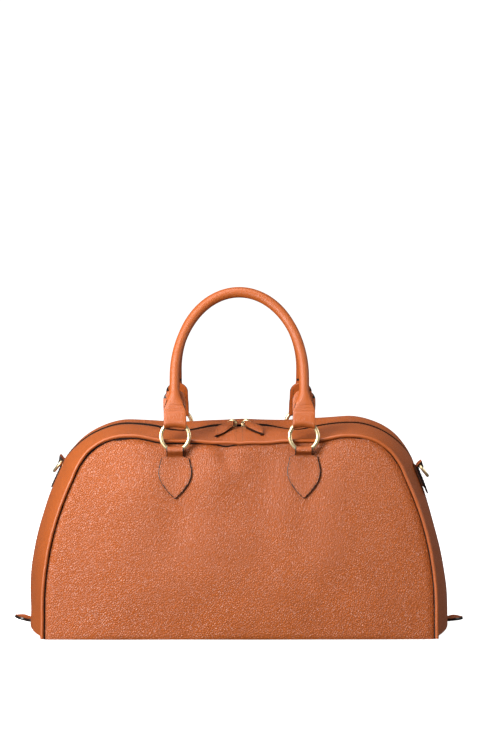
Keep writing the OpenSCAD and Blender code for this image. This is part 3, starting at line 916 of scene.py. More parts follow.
class BAG_OT_sliders(bpy.types.Operator):
    """Makes the two sliders, each with its bridge and its pull ring"""
    bl_idname = "bag.sliders"
    bl_label = "Sliders"

    def execute(self, context):
        for end, sx in ENDS:
            slider = shade(joined(f"slider_body_{end}", self.parts()), 40)
            pull = shade(self.pull_ring(), 40)
            if sx < 0:
                slider = self.flipped(slider)
                pull = self.flipped(pull)
            slider.name = slider.data.name = f"slider_body_{end}"
            pull.name = pull.data.name = f"slider_ring_{end}"
            finish_piece(slider, f"slider_{end}", "gold_metal", finish("pale_gold"), replaces=[f"slider_{end}"])
            finish_piece(pull, f"pull_{end}", "gold_metal", finish("pale_gold"), replaces=[f"pull_ring_{end}"])
        return {"FINISHED"}

    def flipped(self, obj):
        obj.data.transform(Matrix.Diagonal((-1, 1, 1, 1)))
        return in_edit(obj, (bpy.ops.mesh.flip_normals, {}))

    def parts(self):
        """Top plate with a narrowed tail, lower plate, the neck between them and the bridge over the top."""
        middle = (SLIDER_LOW.x + SLIDER_HIGH.x) / 2
        plate_z = PULL_PIVOT.z - 0.0037

        def tail(co):
            narrow = 1 - 0.45 * smooth(0.001, 0.0066, co.x - middle)
            return Vector((co.x, co.y * narrow, co.z))

        top = block("slider_top", (middle - 0.0066, -0.0047, plate_z), (middle + 0.0066, 0.0047, plate_z + 0.0016))
        in_edit(top, (bpy.ops.mesh.subdivide, {"number_cuts": 3}))
        for v in top.data.vertices:
            v.co = tail(v.co)
        apply_modifier(top, "BEVEL", width=0.0005, segments=2, limit_method="ANGLE", angle_limit=math.radians(50))
        lower = block("slider_lower", (middle - 0.0066, -0.0047, plate_z - 0.0066),
                      (middle + 0.0066, 0.0047, plate_z - 0.0052), 0.0005)
        neck = block("slider_neck", (middle - 0.006, -0.00045, plate_z - 0.0056),
                     (middle - 0.001, 0.00045, plate_z + 0.0004), 0.0002)
        centre = Vector((middle, 0.0, plate_z + 0.0023))
        arc = [centre + Vector((0.0, -0.0036 * math.cos(a), 0.0036 * math.sin(a)))
               for a in [math.radians(-38 + 256 * i / 24) for i in range(25)]]
        bridge = tube("slider_bridge", arc, 0.0010, 12)
        for v in bridge.data.vertices:
            v.co.x = middle + (v.co.x - middle) * 3.6
        return [top, lower, neck, bridge]

    def pull_ring(self):
        """A D-shaped wire ring: its straight bar turns in the bridge."""
        points = []
        for i in range(48):
            a = 2 * math.pi * i / 48
            x, y = 0.0052 * math.sin(a), -0.0050 + 0.0054 * math.cos(a)
            y = min(y, 0.0)
            droop = math.tan(math.radians(4)) * y
            points.append(PULL_PIVOT + Vector((x, y, droop)))
        return tube("slider_ring", points, 0.0009, 12, closed=True)


def leaf_half(width, share, neck):
    """Half a leaf's width at a share of its length from the tip, narrowing to a neck."""
    if share < 0.6:
        return width * math.sin(math.pi / 2 * share / 0.6) ** 0.85
    return neck + (width - neck) * (1 + math.cos(math.pi * (share - 0.6) / 0.4)) / 2


def outlined(point, across, lengthwise, inset, half):
    """Rows of stitches a little inside a leaf's two edges, met at its tip."""
    rows = []
    for side in (-1, 1):
        rows.append([point(side * max(0.0, half(q) - inset), q) for q in lengthwise])
    return rows


class BAG_OT_pulls(bpy.types.Operator):
    """Makes the two leather zip pulls: leaves of two plies that droop onto the top of the bag"""
    bl_idname = "bag.pulls"
    bl_label = "Zip pulls"

    LENGTH = 0.047
    HALF = 0.0088
    START = 0.0104

    def execute(self, context):
        shape = body_shape()
        for end, sx in ENDS:
            self.pull(shape, end, sx)
        return {"FINISHED"}

    def pull(self, shape, end, sx):
        yaw = math.radians(25)
        drop = 0.0030 if sx < 0 else 0.0008
        along_leaf = Vector((sx * math.sin(yaw), -math.cos(yaw), 0.0))
        across = Vector((math.cos(yaw), sx * math.sin(yaw), 0.0))
        root = Vector((sx * PULL_PIVOT.x, -self.START, PULL_PIVOT.z - 0.0006))

        def lie(p, q):
            """Height of the leaf: level at the ring, then down to rest on the leather."""
            skin = shape.skin(math.copysign(1, p.x), shape.to_middle - abs(p.x), p.y).z
            rest = skin + 0.0030 - drop * smooth(0.3, 1.0, q) * 0.5
            return root.z + (rest - root.z) * smooth(0.0, 0.32, q)

        def point(off, q, proud=0.0):
            p = root + along_leaf * (q * self.LENGTH) + across * off
            p.z = lie(p, q) + proud - 0.0006 * (off / self.HALF) ** 2
            return p

        def half(q):
            return max(0.0004, leaf_half(self.HALF, 1 - q, 0.0030))

        def place(u, v):
            off = (2 * u - 1) * half(v)
            return point(off, v, 0.0020 + 0.0005 * (1 - (2 * u - 1) ** 2))

        leaf = grid_piece(f"zip_pull_leather_{end}", 14, 46, place)
        face_out(leaf, lambda c: Vector((0.0, 0.0, 1.0)))
        thicken(leaf, 0.0042, True, 0.0002)
        loop = self.loop(root, along_leaf, across)
        obj = shade(joined(f"zip_pull_leather_{end}", [leaf, loop]), 50)
        finish_piece(obj, f"pull_{end}", "leather", finish("tab_leather"), finish("edge_paint"),
                     replaces=[f"zip_pull_{end}"])
        lengthwise = [0.06 + 0.92 * i / 60 for i in range(61)]
        rows = outlined(lambda off, q: point(off, q, 0.0023), across, lengthwise, 0.0022, half)
        thread = stitches(f"zip_pull_stitches_{end}", rows, lambda p: Vector((0.0, 0.0, 1.0)))
        finish_piece(thread, f"pull_{end}", "leather", finish("thread"))

    def loop(self, root, along_leaf, across):
        """The ply that turns round the ring's wire."""
        def place(u, v):
            a = math.radians(-70 + 320 * v)
            back = -along_leaf
            spin = back * (0.0022 * math.sin(a)) + Vector((0.0, 0.0, 0.0022 * math.cos(a)))
            return root + along_leaf * 0.0004 + spin + across * ((2 * u - 1) * 0.0030)

        obj = grid_piece("pull_loop", 4, 18, place)
        centre = root + along_leaf * 0.0004
        face_out(obj, lambda c: c - centre)
        return thicken(obj, 0.0010)


# ---------------------------------------------------------------- handle tabs and rings

class BAG_OT_handle_tabs(bpy.types.Operator):
    """Makes the four leaf-shaped tabs, each looped round the foot of its ring"""
    bl_idname = "bag.handle_tabs"
    bl_label = "Handle tabs"

    THICK = 0.0019

    def execute(self, context):
        shape = body_shape()
        size = context.scene.bag_handle
        for side, sy in SIDES:
            for end, sx in ENDS:
                self.tab(shape, size, side, sy, end, sx)
        return {"FINISHED"}

    def tab(self, shape, size, side, sy, end, sx):
        foot = Vector((sx * RING_FOOT.x, -sy * RING_FOOT.y, RING_FOOT.z))
        top_z = foot.z - 0.0060
        tip_z = foot.z - size.leaf_length
        stations = self.stations(size, sy, foot, tip_z, top_z)
        last = len(stations) - 1

        def half(z):
            share = (z - tip_z) / (foot.z - 0.003 - tip_z)
            wide = leaf_half(size.leaf_half, min(1.0, share), 0.0172)
            return max(0.0005, wide)

        def place(u, v):
            z, y, loose = stations[round(v * last)]
            across = edgewise(u, 0.5)
            x = foot.x + across * self.width(size, half, z, loose)
            puff = 0.0005 * (1 - across ** 4)
            skin = shape.panel(sy, x, z, 0.0026 + puff)
            if loose <= 0:
                return skin
            return skin.lerp(Vector((x, y, z)), loose)

        def at_edge(u, v):
            z, _, loose = stations[round(v * last)]
            return self.width(size, half, z, loose) * (1 - abs(edgewise(u, 0.5))) < 0.0013

        obj = grid_piece(f"handle_tab_leather_{side}_{end}", 22, last, place, painted=at_edge)
        face_out(obj, lambda c: (Vector((0.0, sy, 0.0)) if c.z < top_z else c - foot))
        shade(thicken(obj, self.THICK, True, 0.00035), 50)
        finish_piece(obj, "bag", "leather", finish("tab_leather"), finish("edge_paint"),
                     replaces=[f"handle_tab_{side}_{end}"])
        rows = self.stitch_rows(shape, size, sy, foot, tip_z, top_z, half)
        thread = stitches(f"handle_tab_stitches_{side}_{end}", rows, lambda p: Vector((0.0, sy, 0.0)))
        finish_piece(thread, "bag", "leather", finish("thread"))

    def width(self, size, half, z, loose):
        """Half width: the leaf, drawn in sharply to the neck."""
        return half(z) + (size.neck_half - half(z)) * smooth(0.0, 0.10, loose)

    def stations(self, size, sy, foot, tip_z, top_z):
        """Height, depth and looseness along the tab: up the panel, over the ring's wire and down behind it."""
        out = [(tip_z + (top_z - tip_z) * i / 34, 0.0, 0.0) for i in range(35)]
        radius = size.wire + 0.0006 + self.THICK
        for i in range(1, 25):
            a = math.radians(-62 + 262 * i / 24)
            y = foot.y + sy * radius * math.cos(a)
            z = foot.z + radius * math.sin(a)
            out.append((z, y, smooth(0, 5, i)))
        for i in range(1, 4):
            out.append((foot.z - 0.0014 - 0.0014 * i, foot.y - sy * radius * 0.94, 1.0))
        return out

    def stitch_rows(self, shape, size, sy, foot, tip_z, top_z, half):
        inset = 0.0027
        rows = []
        for way in (-1, 1):
            row = []
            for i in range(61):
                z = tip_z + 0.004 + (top_z + 0.0015 - tip_z - 0.004) * i / 60
                x = foot.x + way * max(0.0, half(z) - inset)
                row.append(shape.panel(sy, x, z, 0.0029))
            rows.append(row)
        z = top_z + 0.0010
        rows.append([shape.panel(sy, foot.x - 0.013 + 0.026 * i / 12, z, 0.0030) for i in range(13)])
        return rows


def wire_ring(name, centre, across, up, radius, wire, flat=1.0):
    """A ring from a torus primitive; its wire is a little flattened, with soft edges."""
    clear_selection()
    bpy.ops.mesh.primitive_torus_add(major_segments=72, minor_segments=16, major_radius=radius, minor_radius=wire)
    obj = named(name)
    normal = across.cross(up).normalized()
    for v in obj.data.vertices:
        plan = Vector((v.co.x, v.co.y, 0.0))
        out = plan.normalized()
        a = math.atan2(v.co.z, plan.length - radius)
        square = 1 / (abs(math.cos(a)) ** 3.2 + abs(math.sin(a)) ** 3.2) ** (1 / 3.2)
        r = radius + wire * square * math.cos(a) * flat
        rise = wire * square * math.sin(a)
        v.co = centre + across * (out.x * r) + up * (out.y * r) + normal * rise
    in_edit(obj, (bpy.ops.mesh.normals_make_consistent, {"inside": False}))
    return shade(obj, 60)


class BAG_OT_handle_rings(bpy.types.Operator):
    """Makes the four rings that join the handles to their tabs"""
    bl_idname = "bag.handle_rings"
    bl_label = "Handle rings"

    def execute(self, context):
        wire = context.scene.bag_handle.wire
        across = Vector((1.0, 0.0, 0.0))
        for side, sy in SIDES:
            for end, sx in ENDS:
                centre = Vector((sx * RING_MIDDLE.x, -sy * RING_MIDDLE.y, RING_MIDDLE.z))
                up = Vector((0.0, -sy * math.sin(LEAN), math.cos(LEAN)))
                obj = wire_ring(f"ring_metal_{side}_{end}", centre, across, up, RING_R, wire)
                finish_piece(obj, f"ring_{side}_{end}", "gold_metal", finish("pale_gold"),
                             replaces=[f"handle_ring_{side}_{end}"])
        return {"FINISHED"}


# ---------------------------------------------------------------- handles

def size_depth(size, z):
    """Depth of the handle's middle plane at a height."""
    return RING_TOP.y + (z - RING_TOP.z) * math.tan(size.lean)


class BAG_OT_handles(bpy.types.Operator):
    """Makes the two rolled handles: each flattens to a strap that turns round its rings and up again"""
    bl_idname = "bag.handles"
    bl_label = "Handles"

    SIDES_OF_SECTION = 24
    FLAP_TOP = 0.044

    def execute(self, context):
        size = context.scene.bag_handle
        for side, sy in SIDES:
            obj = self.handle(size, sy)
            obj.name = obj.data.name = f"handle_leather_{side}"
            finish_piece(obj, f"handle_{side}", "leather", finish("handle_leather"), finish("edge_paint"),
                         replaces=[f"handle_cover_{side}", f"handle_ends_{side}"])
            thread = self.stitching(size, sy, side)
            finish_piece(thread, f"handle_{side}", "leather", finish("thread"))
        return {"FINISHED"}

    def spot(self, size, sy, lateral, high, out):
        """A point in the handle's own plane: across, up its slope, and out of it."""
        top = Vector((0.0, -sy * RING_TOP.y, RING_TOP.z))
        up = Vector((0.0, -sy * math.sin(size.lean), math.cos(size.lean)))
        normal = Vector((0.0, sy * math.cos(size.lean), math.sin(size.lean)))
        return top + Vector((lateral, 0.0, 0.0)) + up * high + normal * out

    def stations(self, size):
        """The right leg from the flap's end up: height, depth, turn, half sizes, squareness and sag."""
        wide, thin, bend = size.loop_half, 0.0016, size.wire + 0.0021
        out = []
        for i in range(18):
            t = 1 - math.cos(math.pi / 2 * i / 17)
            high = self.FLAP_TOP * (1 - t)
            back = -(bend + 0.0030 * smooth(0.008, 0.030, high))
            end = math.sqrt(1 - (1 - t * 3.4) ** 2) if t < 0.294 else 1.0
            narrow = wide + 0.0004 * smooth(0.012, 0.024, high)
            out.append((high, back, math.pi, narrow * max(0.20, end), thin * (0.5 if i == 0 else 1.0), 5.0,
                        smooth(0.014, 0.0, high)))
        for i in range(1, 14):
            a = math.radians(180 + 180 * i / 14)
            out.append((bend * math.sin(a), bend * math.cos(a), a, wide, thin, 5.0, 1.0))
        for i in range(0, 46):
            high = 0.050 * i / 45
            round_off = smooth(0.010, 0.041, high)
            wider = wide + (size.radius - wide) * smooth(0.010, 0.043, high)
            thick = thin + (size.radius - thin) * smooth(0.010, 0.036, high)
            gather = sum(0.0007 * bell(high, line, 0.0011) for line in (0.0125, 0.0160, 0.0195))
            out.append((high, bend * (1 - round_off), 0.0, wider, thick - gather,
                        5 - 3 * smooth(0.006, 0.030, high), smooth(0.016, 0.0, high)))
        return out

    def section(self, size, sy, centre_x, high, out, turn, half, thick, square, sag, radial=None):
        """One ring of points. The strap's outer face looks along turn; radial is the arch's own direction."""
        ring = []
        count = self.SIDES_OF_SECTION
        for k in range(count):
            a = 2 * math.pi * k / count
            c, s = math.cos(a), math.sin(a)
            lateral = half * math.copysign(abs(c) ** (2 / square), c)
            across = thick * math.copysign(abs(s) ** (2 / square), s)
            droop = sag * 0.45 * (RING_R - math.sqrt(RING_R ** 2 - min(abs(lateral), 0.0165) ** 2))
            side, up = radial or (1.0, 0.0)
            ring.append(self.spot(
                size, sy, centre_x + lateral * side,
                high + lateral * up - droop + across * math.sin(turn), out + across * math.cos(turn)))
        return ring

    def handle(self, size, sy):
        foot_x = RING_FOOT.x
        half = []
        for high, out, turn, wide, thick, square, sag in self.stations(size):
            x = foot_x + (size.leg_half - foot_x) * smooth(0.0, 0.03, high)
            half.append(self.section(size, sy, x, high, out, turn, wide, thick, square, sag))
        leg_top = size.arch_rise - size.arch_cap
        arch = []
        for high in (0.0535, 0.058):
            arch.append(self.section(size, sy, size.leg_half, high, 0.0, 0.0, size.radius, size.radius, 2, 0))
        steps = 34
        for i in range(steps + 1):
            a = math.pi / 2 * i / steps
            n = math.hypot(size.arch_cap * math.cos(a), size.leg_half * math.sin(a))
            radial = (size.arch_cap * math.cos(a) / n, size.leg_half * math.sin(a) / n)
            arch.append(self.section(
                size, sy, size.leg_half * math.cos(a), leg_top + size.arch_cap * math.sin(a),
                0.0, 0.0, size.radius, size.radius, 2, 0, radial))
        right = half + arch
        left = [[Vector((-p.x, p.y, p.z)) for p in ring] for ring in right[-2::-1]]
        obj = lofted("handle_leather", right + left)
        shade(obj, 50)
        self.paint_edges(size, obj, sy)
        return obj

    def paint_edges(self, size, obj, sy):
        """Paints the strap's side edges and the ends of its flaps."""
        obj.data.materials.append(finish("handle_leather"))
        obj.data.materials.append(finish("edge_paint"))
        limit = RING_TOP.z + (self.FLAP_TOP - 0.0005) * math.cos(size.lean)
        for face in obj.data.polygons:
            across = abs(abs(face.center.x) - RING_FOOT.x)
            at_side = abs(face.normal.x) > 0.5 and across > 0.0098
            behind = abs(face.center.y) < abs(size_depth(size, face.center.z)) - 0.0035
            at_end = behind and limit - 0.013 < face.center.z and self.flap_margin(size, face, across) < 0.0016
            if face.center.z < limit + 0.003 and (at_side or at_end):
                face.material_index = 1

    def flap_margin(self, size, face, across):
        """How far a face of the flap's rounded end lies inside its outline."""
        high = (face.center.z - RING_TOP.z) / math.cos(size.lean)
        t = min(0.294, max(0.0, 1 - high / self.FLAP_TOP))
        return size.loop_half * math.sqrt(max(0.0, 1 - (1 - t * 3.4) ** 2)) - across

    def stitching(self, size, sy, side):
        """Two short rows that close each flap, and the seam along the inside of the roll."""
        rows = []
        for sx in (-1, 1):
            for way in (-1, 1):
                row = []
                for i in range(13):
                    high = 0.010 + 0.024 * i / 12
                    back = -(size.wire + 0.0021 + 0.0030 * smooth(0.008, 0.030, high)) - 0.0017
                    row.append(self.spot(size, sy, sx * RING_FOOT.x + way * 0.0088, high, back))
                rows.append(row)
        arch = []
        for i in range(121):
            a = math.radians(8 + 164 * i / 120)
            n = math.hypot(size.arch_cap * math.cos(a), size.leg_half * math.sin(a))
            inner = size.radius * 0.72
            x = size.leg_half * math.cos(a) - inner * size.arch_cap * math.cos(a) / n
            high = size.arch_rise - size.arch_cap + size.arch_cap * math.sin(a) - inner * size.leg_half * math.sin(a) / n
            arch.append(self.spot(size, sy, x, high, -size.radius * 0.70))
        rows.append(arch)
        normal = Vector((0.0, -sy * math.cos(size.lean), -math.sin(size.lean)))
        return stitches(f"handle_stitches_{side}", rows, lambda p: normal)


# ---------------------------------------------------------------- end rings and end tabs

D_HANG = math.radians(38)
D_WIRE = 0.0020
D_HALF = 0.0130


class BAG_OT_end_rings(bpy.types.Operator):
    """Makes the D-ring at each end and the strap that holds it"""
    bl_idname = "bag.end_rings"
    bl_label = "End rings"

    def execute(self, context):
        shape = body_shape()
        for end, sx in ENDS:
            pivot = D_PIVOTS[end]
            ring = self.ring(end, sx, pivot)
            finish_piece(ring, f"d_ring_{end}", "gold_metal", finish("pale_gold"), replaces=[f"d_ring_{end}"])
            strap = self.strap(shape, end, sx, pivot)
            finish_piece(strap, "bag", "leather", finish("tab_leather"), finish("edge_paint"),
                         replaces=[f"d_ring_tab_{end}"])
            rows = self.stitch_rows(shape, sx, pivot)
            thread = stitches(f"d_ring_stitches_{end}", rows, outwards)
            finish_piece(thread, "bag", "leather", finish("thread"))
        return {"FINISHED"}

    def ring(self, end, sx, pivot):
        """One round wire: a straight bar along Y, two short sides and a half circle hanging outwards."""
        down = Vector((sx * math.sin(D_HANG), 0.0, -math.cos(D_HANG)))
        across = Vector((0.0, 1.0, 0.0))
        side = 0.0030
        corner = 0.0026
        flat = []
        flat += [(D_HALF - corner - i * (2 * (D_HALF - corner)) / 10, 0.0) for i in range(11)]
        flat += self.turn(-D_HALF + corner, corner, corner, 270, 180)
        flat += self.turn(0.0, side, D_HALF, 180, 0, 28)
        flat += self.turn(D_HALF - corner, corner, corner, 0, -90)
        points = [pivot + across * y + down * q for y, q in flat]
        return shade(tube(f"d_ring_metal_{end}", points, D_WIRE, 14, closed=True), 60)

    def turn(self, y, q, radius, start, stop, steps=6):
        """Points on an arc about (y, q), from one angle to another in degrees, without its ends."""
        out = []
        for i in range(1, steps):
            a = math.radians(start + (stop - start) * i / steps)
            out.append((y + radius * math.cos(a), q + radius * math.sin(a)))
        return out

    def strap_skin(self, shape, sx, pivot, s, y, off):
        """The strap lies flat: every point of a row has the height of the leather under its inner part."""
        x, z, t = shape.outline(s)
        p = shape.skin(sx, s, pivot.y * 0.72)
        return Vector((p.x, y, p.z)) + Vector((sx * math.cos(t), 0.0, math.sin(t))) * off

    def pivot_s(self, shape, pivot):
        return sum(shape.lengths[:3]) + (pivot.z - shape.slant_z)

    def strap(self, shape, end, sx, pivot):
        """Two plies that lie on the gusset, joined by a turn round the ring's bar."""
        thick = 0.0015
        s0 = self.pivot_s(shape, pivot)
        stations = [("outer", s0 - 0.044 + 0.040 * i / 16) for i in range(17)]
        stations += [("turn", math.radians(-28 + 236 * i / 16)) for i in range(17)]
        stations += [("inner", s0 - 0.006 - 0.030 * i / 10) for i in range(11)]
        last = len(stations) - 1

        def place(u, v):
            y = pivot.y + (2 * u - 1) * 0.0100
            kind, value = stations[round(v * last)]
            if kind == "turn":
                radius = D_WIRE + 0.0004 + thick
                return Vector((pivot.x + sx * radius * math.cos(value), y, pivot.z + radius * math.sin(value)))
            off = 0.0036 if kind == "outer" else 0.0008
            lift = smooth(0.012, 0.0, s0 - value)
            p = self.strap_skin(shape, sx, pivot, value, y, off)
            if kind == "outer":
                p = p.lerp(Vector((pivot.x + sx * (D_WIRE + 0.0019), y, p.z)), lift)
            return p

        obj = grid_piece(f"d_ring_strap_{end}", 12, last, place)
        face_out(obj, lambda c: Vector((sx, 0.0, 0.2)) if c.x * sx > abs(pivot.x) else Vector((0.0, 0.0, 0.0)))
        return shade(thicken(obj, thick, True, 0.0003), 50)

    def stitch_rows(self, shape, sx, pivot):
        s0 = self.pivot_s(shape, pivot)
        rows = []
        for way in (-1, 1):
            rows.append([self.strap_skin(shape, sx, pivot, s0 - 0.042 + 0.030 * i / 20, pivot.y + way * 0.0078, 0.0037)
                         for i in range(21)])
        rows.append([self.strap_skin(shape, sx, pivot, s0 - 0.042, pivot.y - 0.0078 + 0.0156 * i / 8, 0.0037)
                     for i in range(9)])
        return rows


class BAG_OT_end_tabs(bpy.types.Operator):
    """Makes the leather tongue at the foot of the zip at each end"""
    bl_idname = "bag.end_tabs"
    bl_label = "Zip end tabs"

    LENGTH = 0.0195
    HALF = 0.0110

    def execute(self, context):
        for end, sx in ENDS:
            low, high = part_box(f"zip_end_tab_{end}")
            reach = max(abs(low.x), abs(high.x))
            root = Vector((sx * (reach - self.LENGTH * 0.95), 0.0, low.z + 0.0036))
            obj = self.tongue(end, sx, root, 0.0052 if sx < 0 else 0.0022)
            finish_piece(obj, "bag", "leather", finish("tab_leather"), finish("edge_paint"),
                         replaces=[f"zip_end_tab_{end}"])
        return {"FINISHED"}

    def tongue(self, end, sx, root, rise):
        def lift(q):
            return rise * (0.55 * q + 0.45 * q * q) if q > 0 else 0.2 * rise * q

        def place(u, v):
            q = -0.35 + 1.35 * v
            half = 0.0085 if q < 0 else max(0.0004, leaf_half(self.HALF, 1 - q, 0.0085))
            y = (2 * u - 1) * half
            cup = 0.0014 * (y / self.HALF) ** 2
            return Vector((root.x + sx * q * self.LENGTH, y, root.z + lift(q) + cup))

        obj = grid_piece(f"zip_end_tongue_{end}", 14, 40, place)
        face_out(obj, lambda c: Vector((0.0, 0.0, 1.0)))
        return shade(thicken(obj, 0.0034, True, 0.0005), 50)


# ---------------------------------------------------------------- inside

LINING_IN = 0.0058


class BAG_OT_linings(bpy.types.Operator):
    """Makes the cotton lining: two panels, the base and four strips under the gusset"""
    bl_idname = "bag.linings"
    bl_label = "Linings"

    def execute(self, context):
        shape = body_shape()
        size = context.scene.bag_shape
        for side, sy in SIDES:
            obj, _ = panel_sheet(f"lining_cotton_{side}", shape, sy, 0.0065, -LINING_IN, 0.0085, 90, 60)
            in_edit(obj, (bpy.ops.mesh.flip_normals, {}))
            shade(thicken(obj, 0.0007, False), 60)
            finish_piece(obj, "bag", "lining", finish("cotton_lining"), replaces=[f"{side}_lining"])
            self.panel_area(shape)
            for end, sx in ENDS:
                self.strip(shape, size, side, sy, end, sx)
        self.base(shape)
        return {"FINISHED"}

    def panel_area(self, shape):
        """Area of the lining's cut, between its foot and its top."""
        area, steps = 0.0, 400
        low, high = 0.0085, TOP_Z - 0.0065
        for i in range(steps):
            z = low + (high - low) * (i + 0.5) / steps
            area += 2 * (shape.half_at(z) - 0.0065) * (high - low) / steps
        return area / math.cos(LEAN)

    def strip(self, shape, size, side, sy, end, sx):
        def low(s):
            return shape.seam_y(s) - 0.0075

        obj = quarter_strip(
            f"gusset_lining_{side}_{end}", shape, sx, sy, low, lambda s: 0.0150,
            size.leather + 0.0013, 0.0090, 120, 14)
        in_edit(obj, (bpy.ops.mesh.flip_normals, {}))
        shade(thicken(obj, 0.0006, False), 60)
        finish_piece(obj, "bag", "lining", finish("cotton_lining"), swing=mouth_swing(side, sx),
                     replaces=[f"side_lining_{end}", f"top_lining_{side}"])
        run = shape.to_middle - 0.009
        wide = low(0.009) - 0.0150
        area = sum((low(0.009 + run * (i + 0.5) / 200) - 0.0150) for i in range(200)) * run / 200

    def base(self, shape):
        low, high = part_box("base_lining")
        half, depth = high.x - shape.side_bulge, high.y

        def place(u, v):
            w = 2 * v - 1
            x = (2 * u - 1) * (half + shape.side_bulge * (1 - w * w))
            ripple = noise.noise(Vector((x * 9, w * 2, 5.0))) * 0.0005
            return Vector((x, w * depth, low.z + 0.0006 + abs(ripple)))

        obj = grid_piece("base_lining_cotton", 80, 34, place)
        face_out(obj, lambda c: Vector((0.0, 0.0, 1.0)))
        shade(thicken(obj, 0.0006, False), 60)
        finish_piece(obj, "bag", "lining", finish("cotton_lining"), replaces=["base_lining"])


class BAG_OT_pockets(bpy.types.Operator):
    """Makes the slip pocket in front, and the zipped pocket's leather frame, zip and bag behind"""
    bl_idname = "bag.pockets"
    bl_label = "Pockets"

    def execute(self, context):
        shape = body_shape()
        self.slip_pocket(shape)
        self.zip_pocket(shape)
        return {"FINISHED"}

    def slip_pocket(self, shape):
        low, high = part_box("slip_pocket")
        bottom, top = low.z + 0.001, high.z - 0.001

        def place(u, v):
            x = low.x + (high.x - low.x) * u
            z = bottom + (top - bottom) * v
            sag = 0.0035 * math.sin(math.pi * u) * smooth(0.35, 1.0, v)
            hem = 0.0006 * smooth(0.90, 0.92, v)
            stand = 0.0012 + sag + hem
            return shape.panel(-1, x, z - 0.003 * math.sin(math.pi * u) * v, -(LINING_IN + 0.0007 + stand))

        obj = grid_piece("slip_pocket_cotton", 60, 44, place)
        face_out(obj, lambda c: Vector((0.0, 1.0, 0.0)))
        shade(thicken(obj, 0.0007, False), 60)
        finish_piece(obj, "bag", "lining", finish("cotton_lining"), replaces=["slip_pocket"])
        rows = []
        for way in (-1, 1):
            rows.append([shape.panel(-1, way * (high.x - 0.002), bottom + (top - bottom) * i / 40,
                                     -(LINING_IN + 0.0020)) for i in range(41)])
        rows.append([shape.panel(-1, low.x + (high.x - low.x) * i / 50, bottom + 0.002, -(LINING_IN + 0.0021))
                     for i in range(51)])
        thread = stitches("slip_pocket_stitches", rows, lambda p: Vector((0.0, 1.0, 0.0)))
        finish_piece(thread, "bag", "lining", finish("thread"))

    def zip_pocket(self, shape):
        """The frame is a flat ring of leather round the slot; its zip lies in the slot."""
        low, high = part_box("zip_pocket_frame")
        bag_low, bag_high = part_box("zip_pocket_bag")
        band = 0.0070
        middle_z = (low.z + high.z) / 2
        half_z = (high.z - low.z) / 2

        def spot(x, z, stand):
            return shape.panel(1, x, z, -(LINING_IN + stand))

        def corner_ring(inset, stand):
            half_x, half_h = high.x - inset, half_z - inset
            radius = max(0.0008, 0.0045 - inset)
            ring = []
            for cx, cz, start in ((1, 1, 0), (-1, 1, 90), (-1, -1, 180), (1, -1, 270)):
                for i in range(7):
                    a = math.radians(start + 15 * i)
                    x = cx * (half_x - radius) + radius * math.cos(a)
                    z = middle_z + cz * (half_h - radius) + radius * math.sin(a)
                    ring.append(spot(x, z, stand))
            return ring

        steps = [(0.0, 0.0004), (0.0, 0.0013), (0.0008, 0.0018), (band - 0.0008, 0.0018), (band, 0.0013),
                 (band, 0.0004)]
        rings = [corner_ring(inset, stand) for inset, stand in steps]
        frame_piece = lofted("zip_pocket_leather", rings, closed=True)
        finish_piece(shade(frame_piece, 40), "bag", "leather", finish("tab_leather"), replaces=["zip_pocket_frame"])
        template = tooth_template()
        pitch = 0.0025
        half_x = high.x - band
        count = int((2 * half_x - 0.004) / pitch)
        matrices = []
        for i in range(2 * count):
            x = -half_x + 0.002 + (i // 2 + 0.5 * (i % 2)) * pitch
            flip = -1 if i % 2 else 1
            inward = Vector((0.0, -1.0, 0.0))
            across = Vector((0.0, 0.0, flip))
            along_x = across.cross(inward)
            m = Matrix((along_x, across, inward)).transposed().to_4x4()
            matrices.append(Matrix.Translation(spot(x, middle_z, 0.0002)) @ m)
        teeth = copies("pocket_zip_teeth", template, matrices)
        bpy.data.objects.remove(template)
        in_edit(teeth, (bpy.ops.mesh.normals_make_consistent, {"inside": False}))
        finish_piece(teeth, "bag", "zip_teeth", finish("zip_nylon"))
        tape = grid_piece("pocket_zip_tape", 50, 6,
                          lambda u, v: spot((2 * u - 1) * half_x, middle_z + (2 * v - 1) * (half_z - band), -0.0010))
        face_out(tape, lambda c: Vector((0.0, -1.0, 0.0)))
        shade(thicken(tape, 0.0006, False), 60)
        finish_piece(tape, "bag", "zip_tape", finish("zip_tape_weave"), replaces=["zip_pocket_zip"])
        self.pocket_puller(spot, half_x, middle_z)
        pocket = grid_piece("zip_pocket_cotton", 50, 40, lambda u, v: shape.panel(
            1, bag_low.x + (bag_high.x - bag_low.x) * u, bag_low.z + (bag_high.z - bag_low.z) * v, -0.0042))
        face_out(pocket, lambda c: Vector((0.0, -1.0, 0.0)))
        shade(thicken(pocket, 0.0006, False), 60)
        finish_piece(pocket, "bag", "lining", finish("cotton_lining"), replaces=["zip_pocket_bag"])

    def pocket_puller(self, spot, half_x, middle_z):
        """A small slider with a bar that hangs down the frame."""
        x = half_x - 0.010
        p = spot(x, middle_z, 0.0026)
        body = block("pocket_slider_body", p - Vector((0.0045, 0.0012, 0.0030)), p + Vector((0.0045, 0.0012, 0.0030)),
                     0.0006)
        low = spot(x, middle_z - 0.026, 0.0050)
        bar = tube("pocket_slider_bar", [p.lerp(low, i / 8) - Vector((0, 0.0012, 0)) for i in range(9)],
                   lambda q: 0.0008 + 0.0011 * smooth(0.2, 1.0, q), 10)
        obj = shade(joined("pocket_slider", [body, bar]), 40)
        finish_piece(obj, "bag", "gold_metal", finish("pale_gold"))


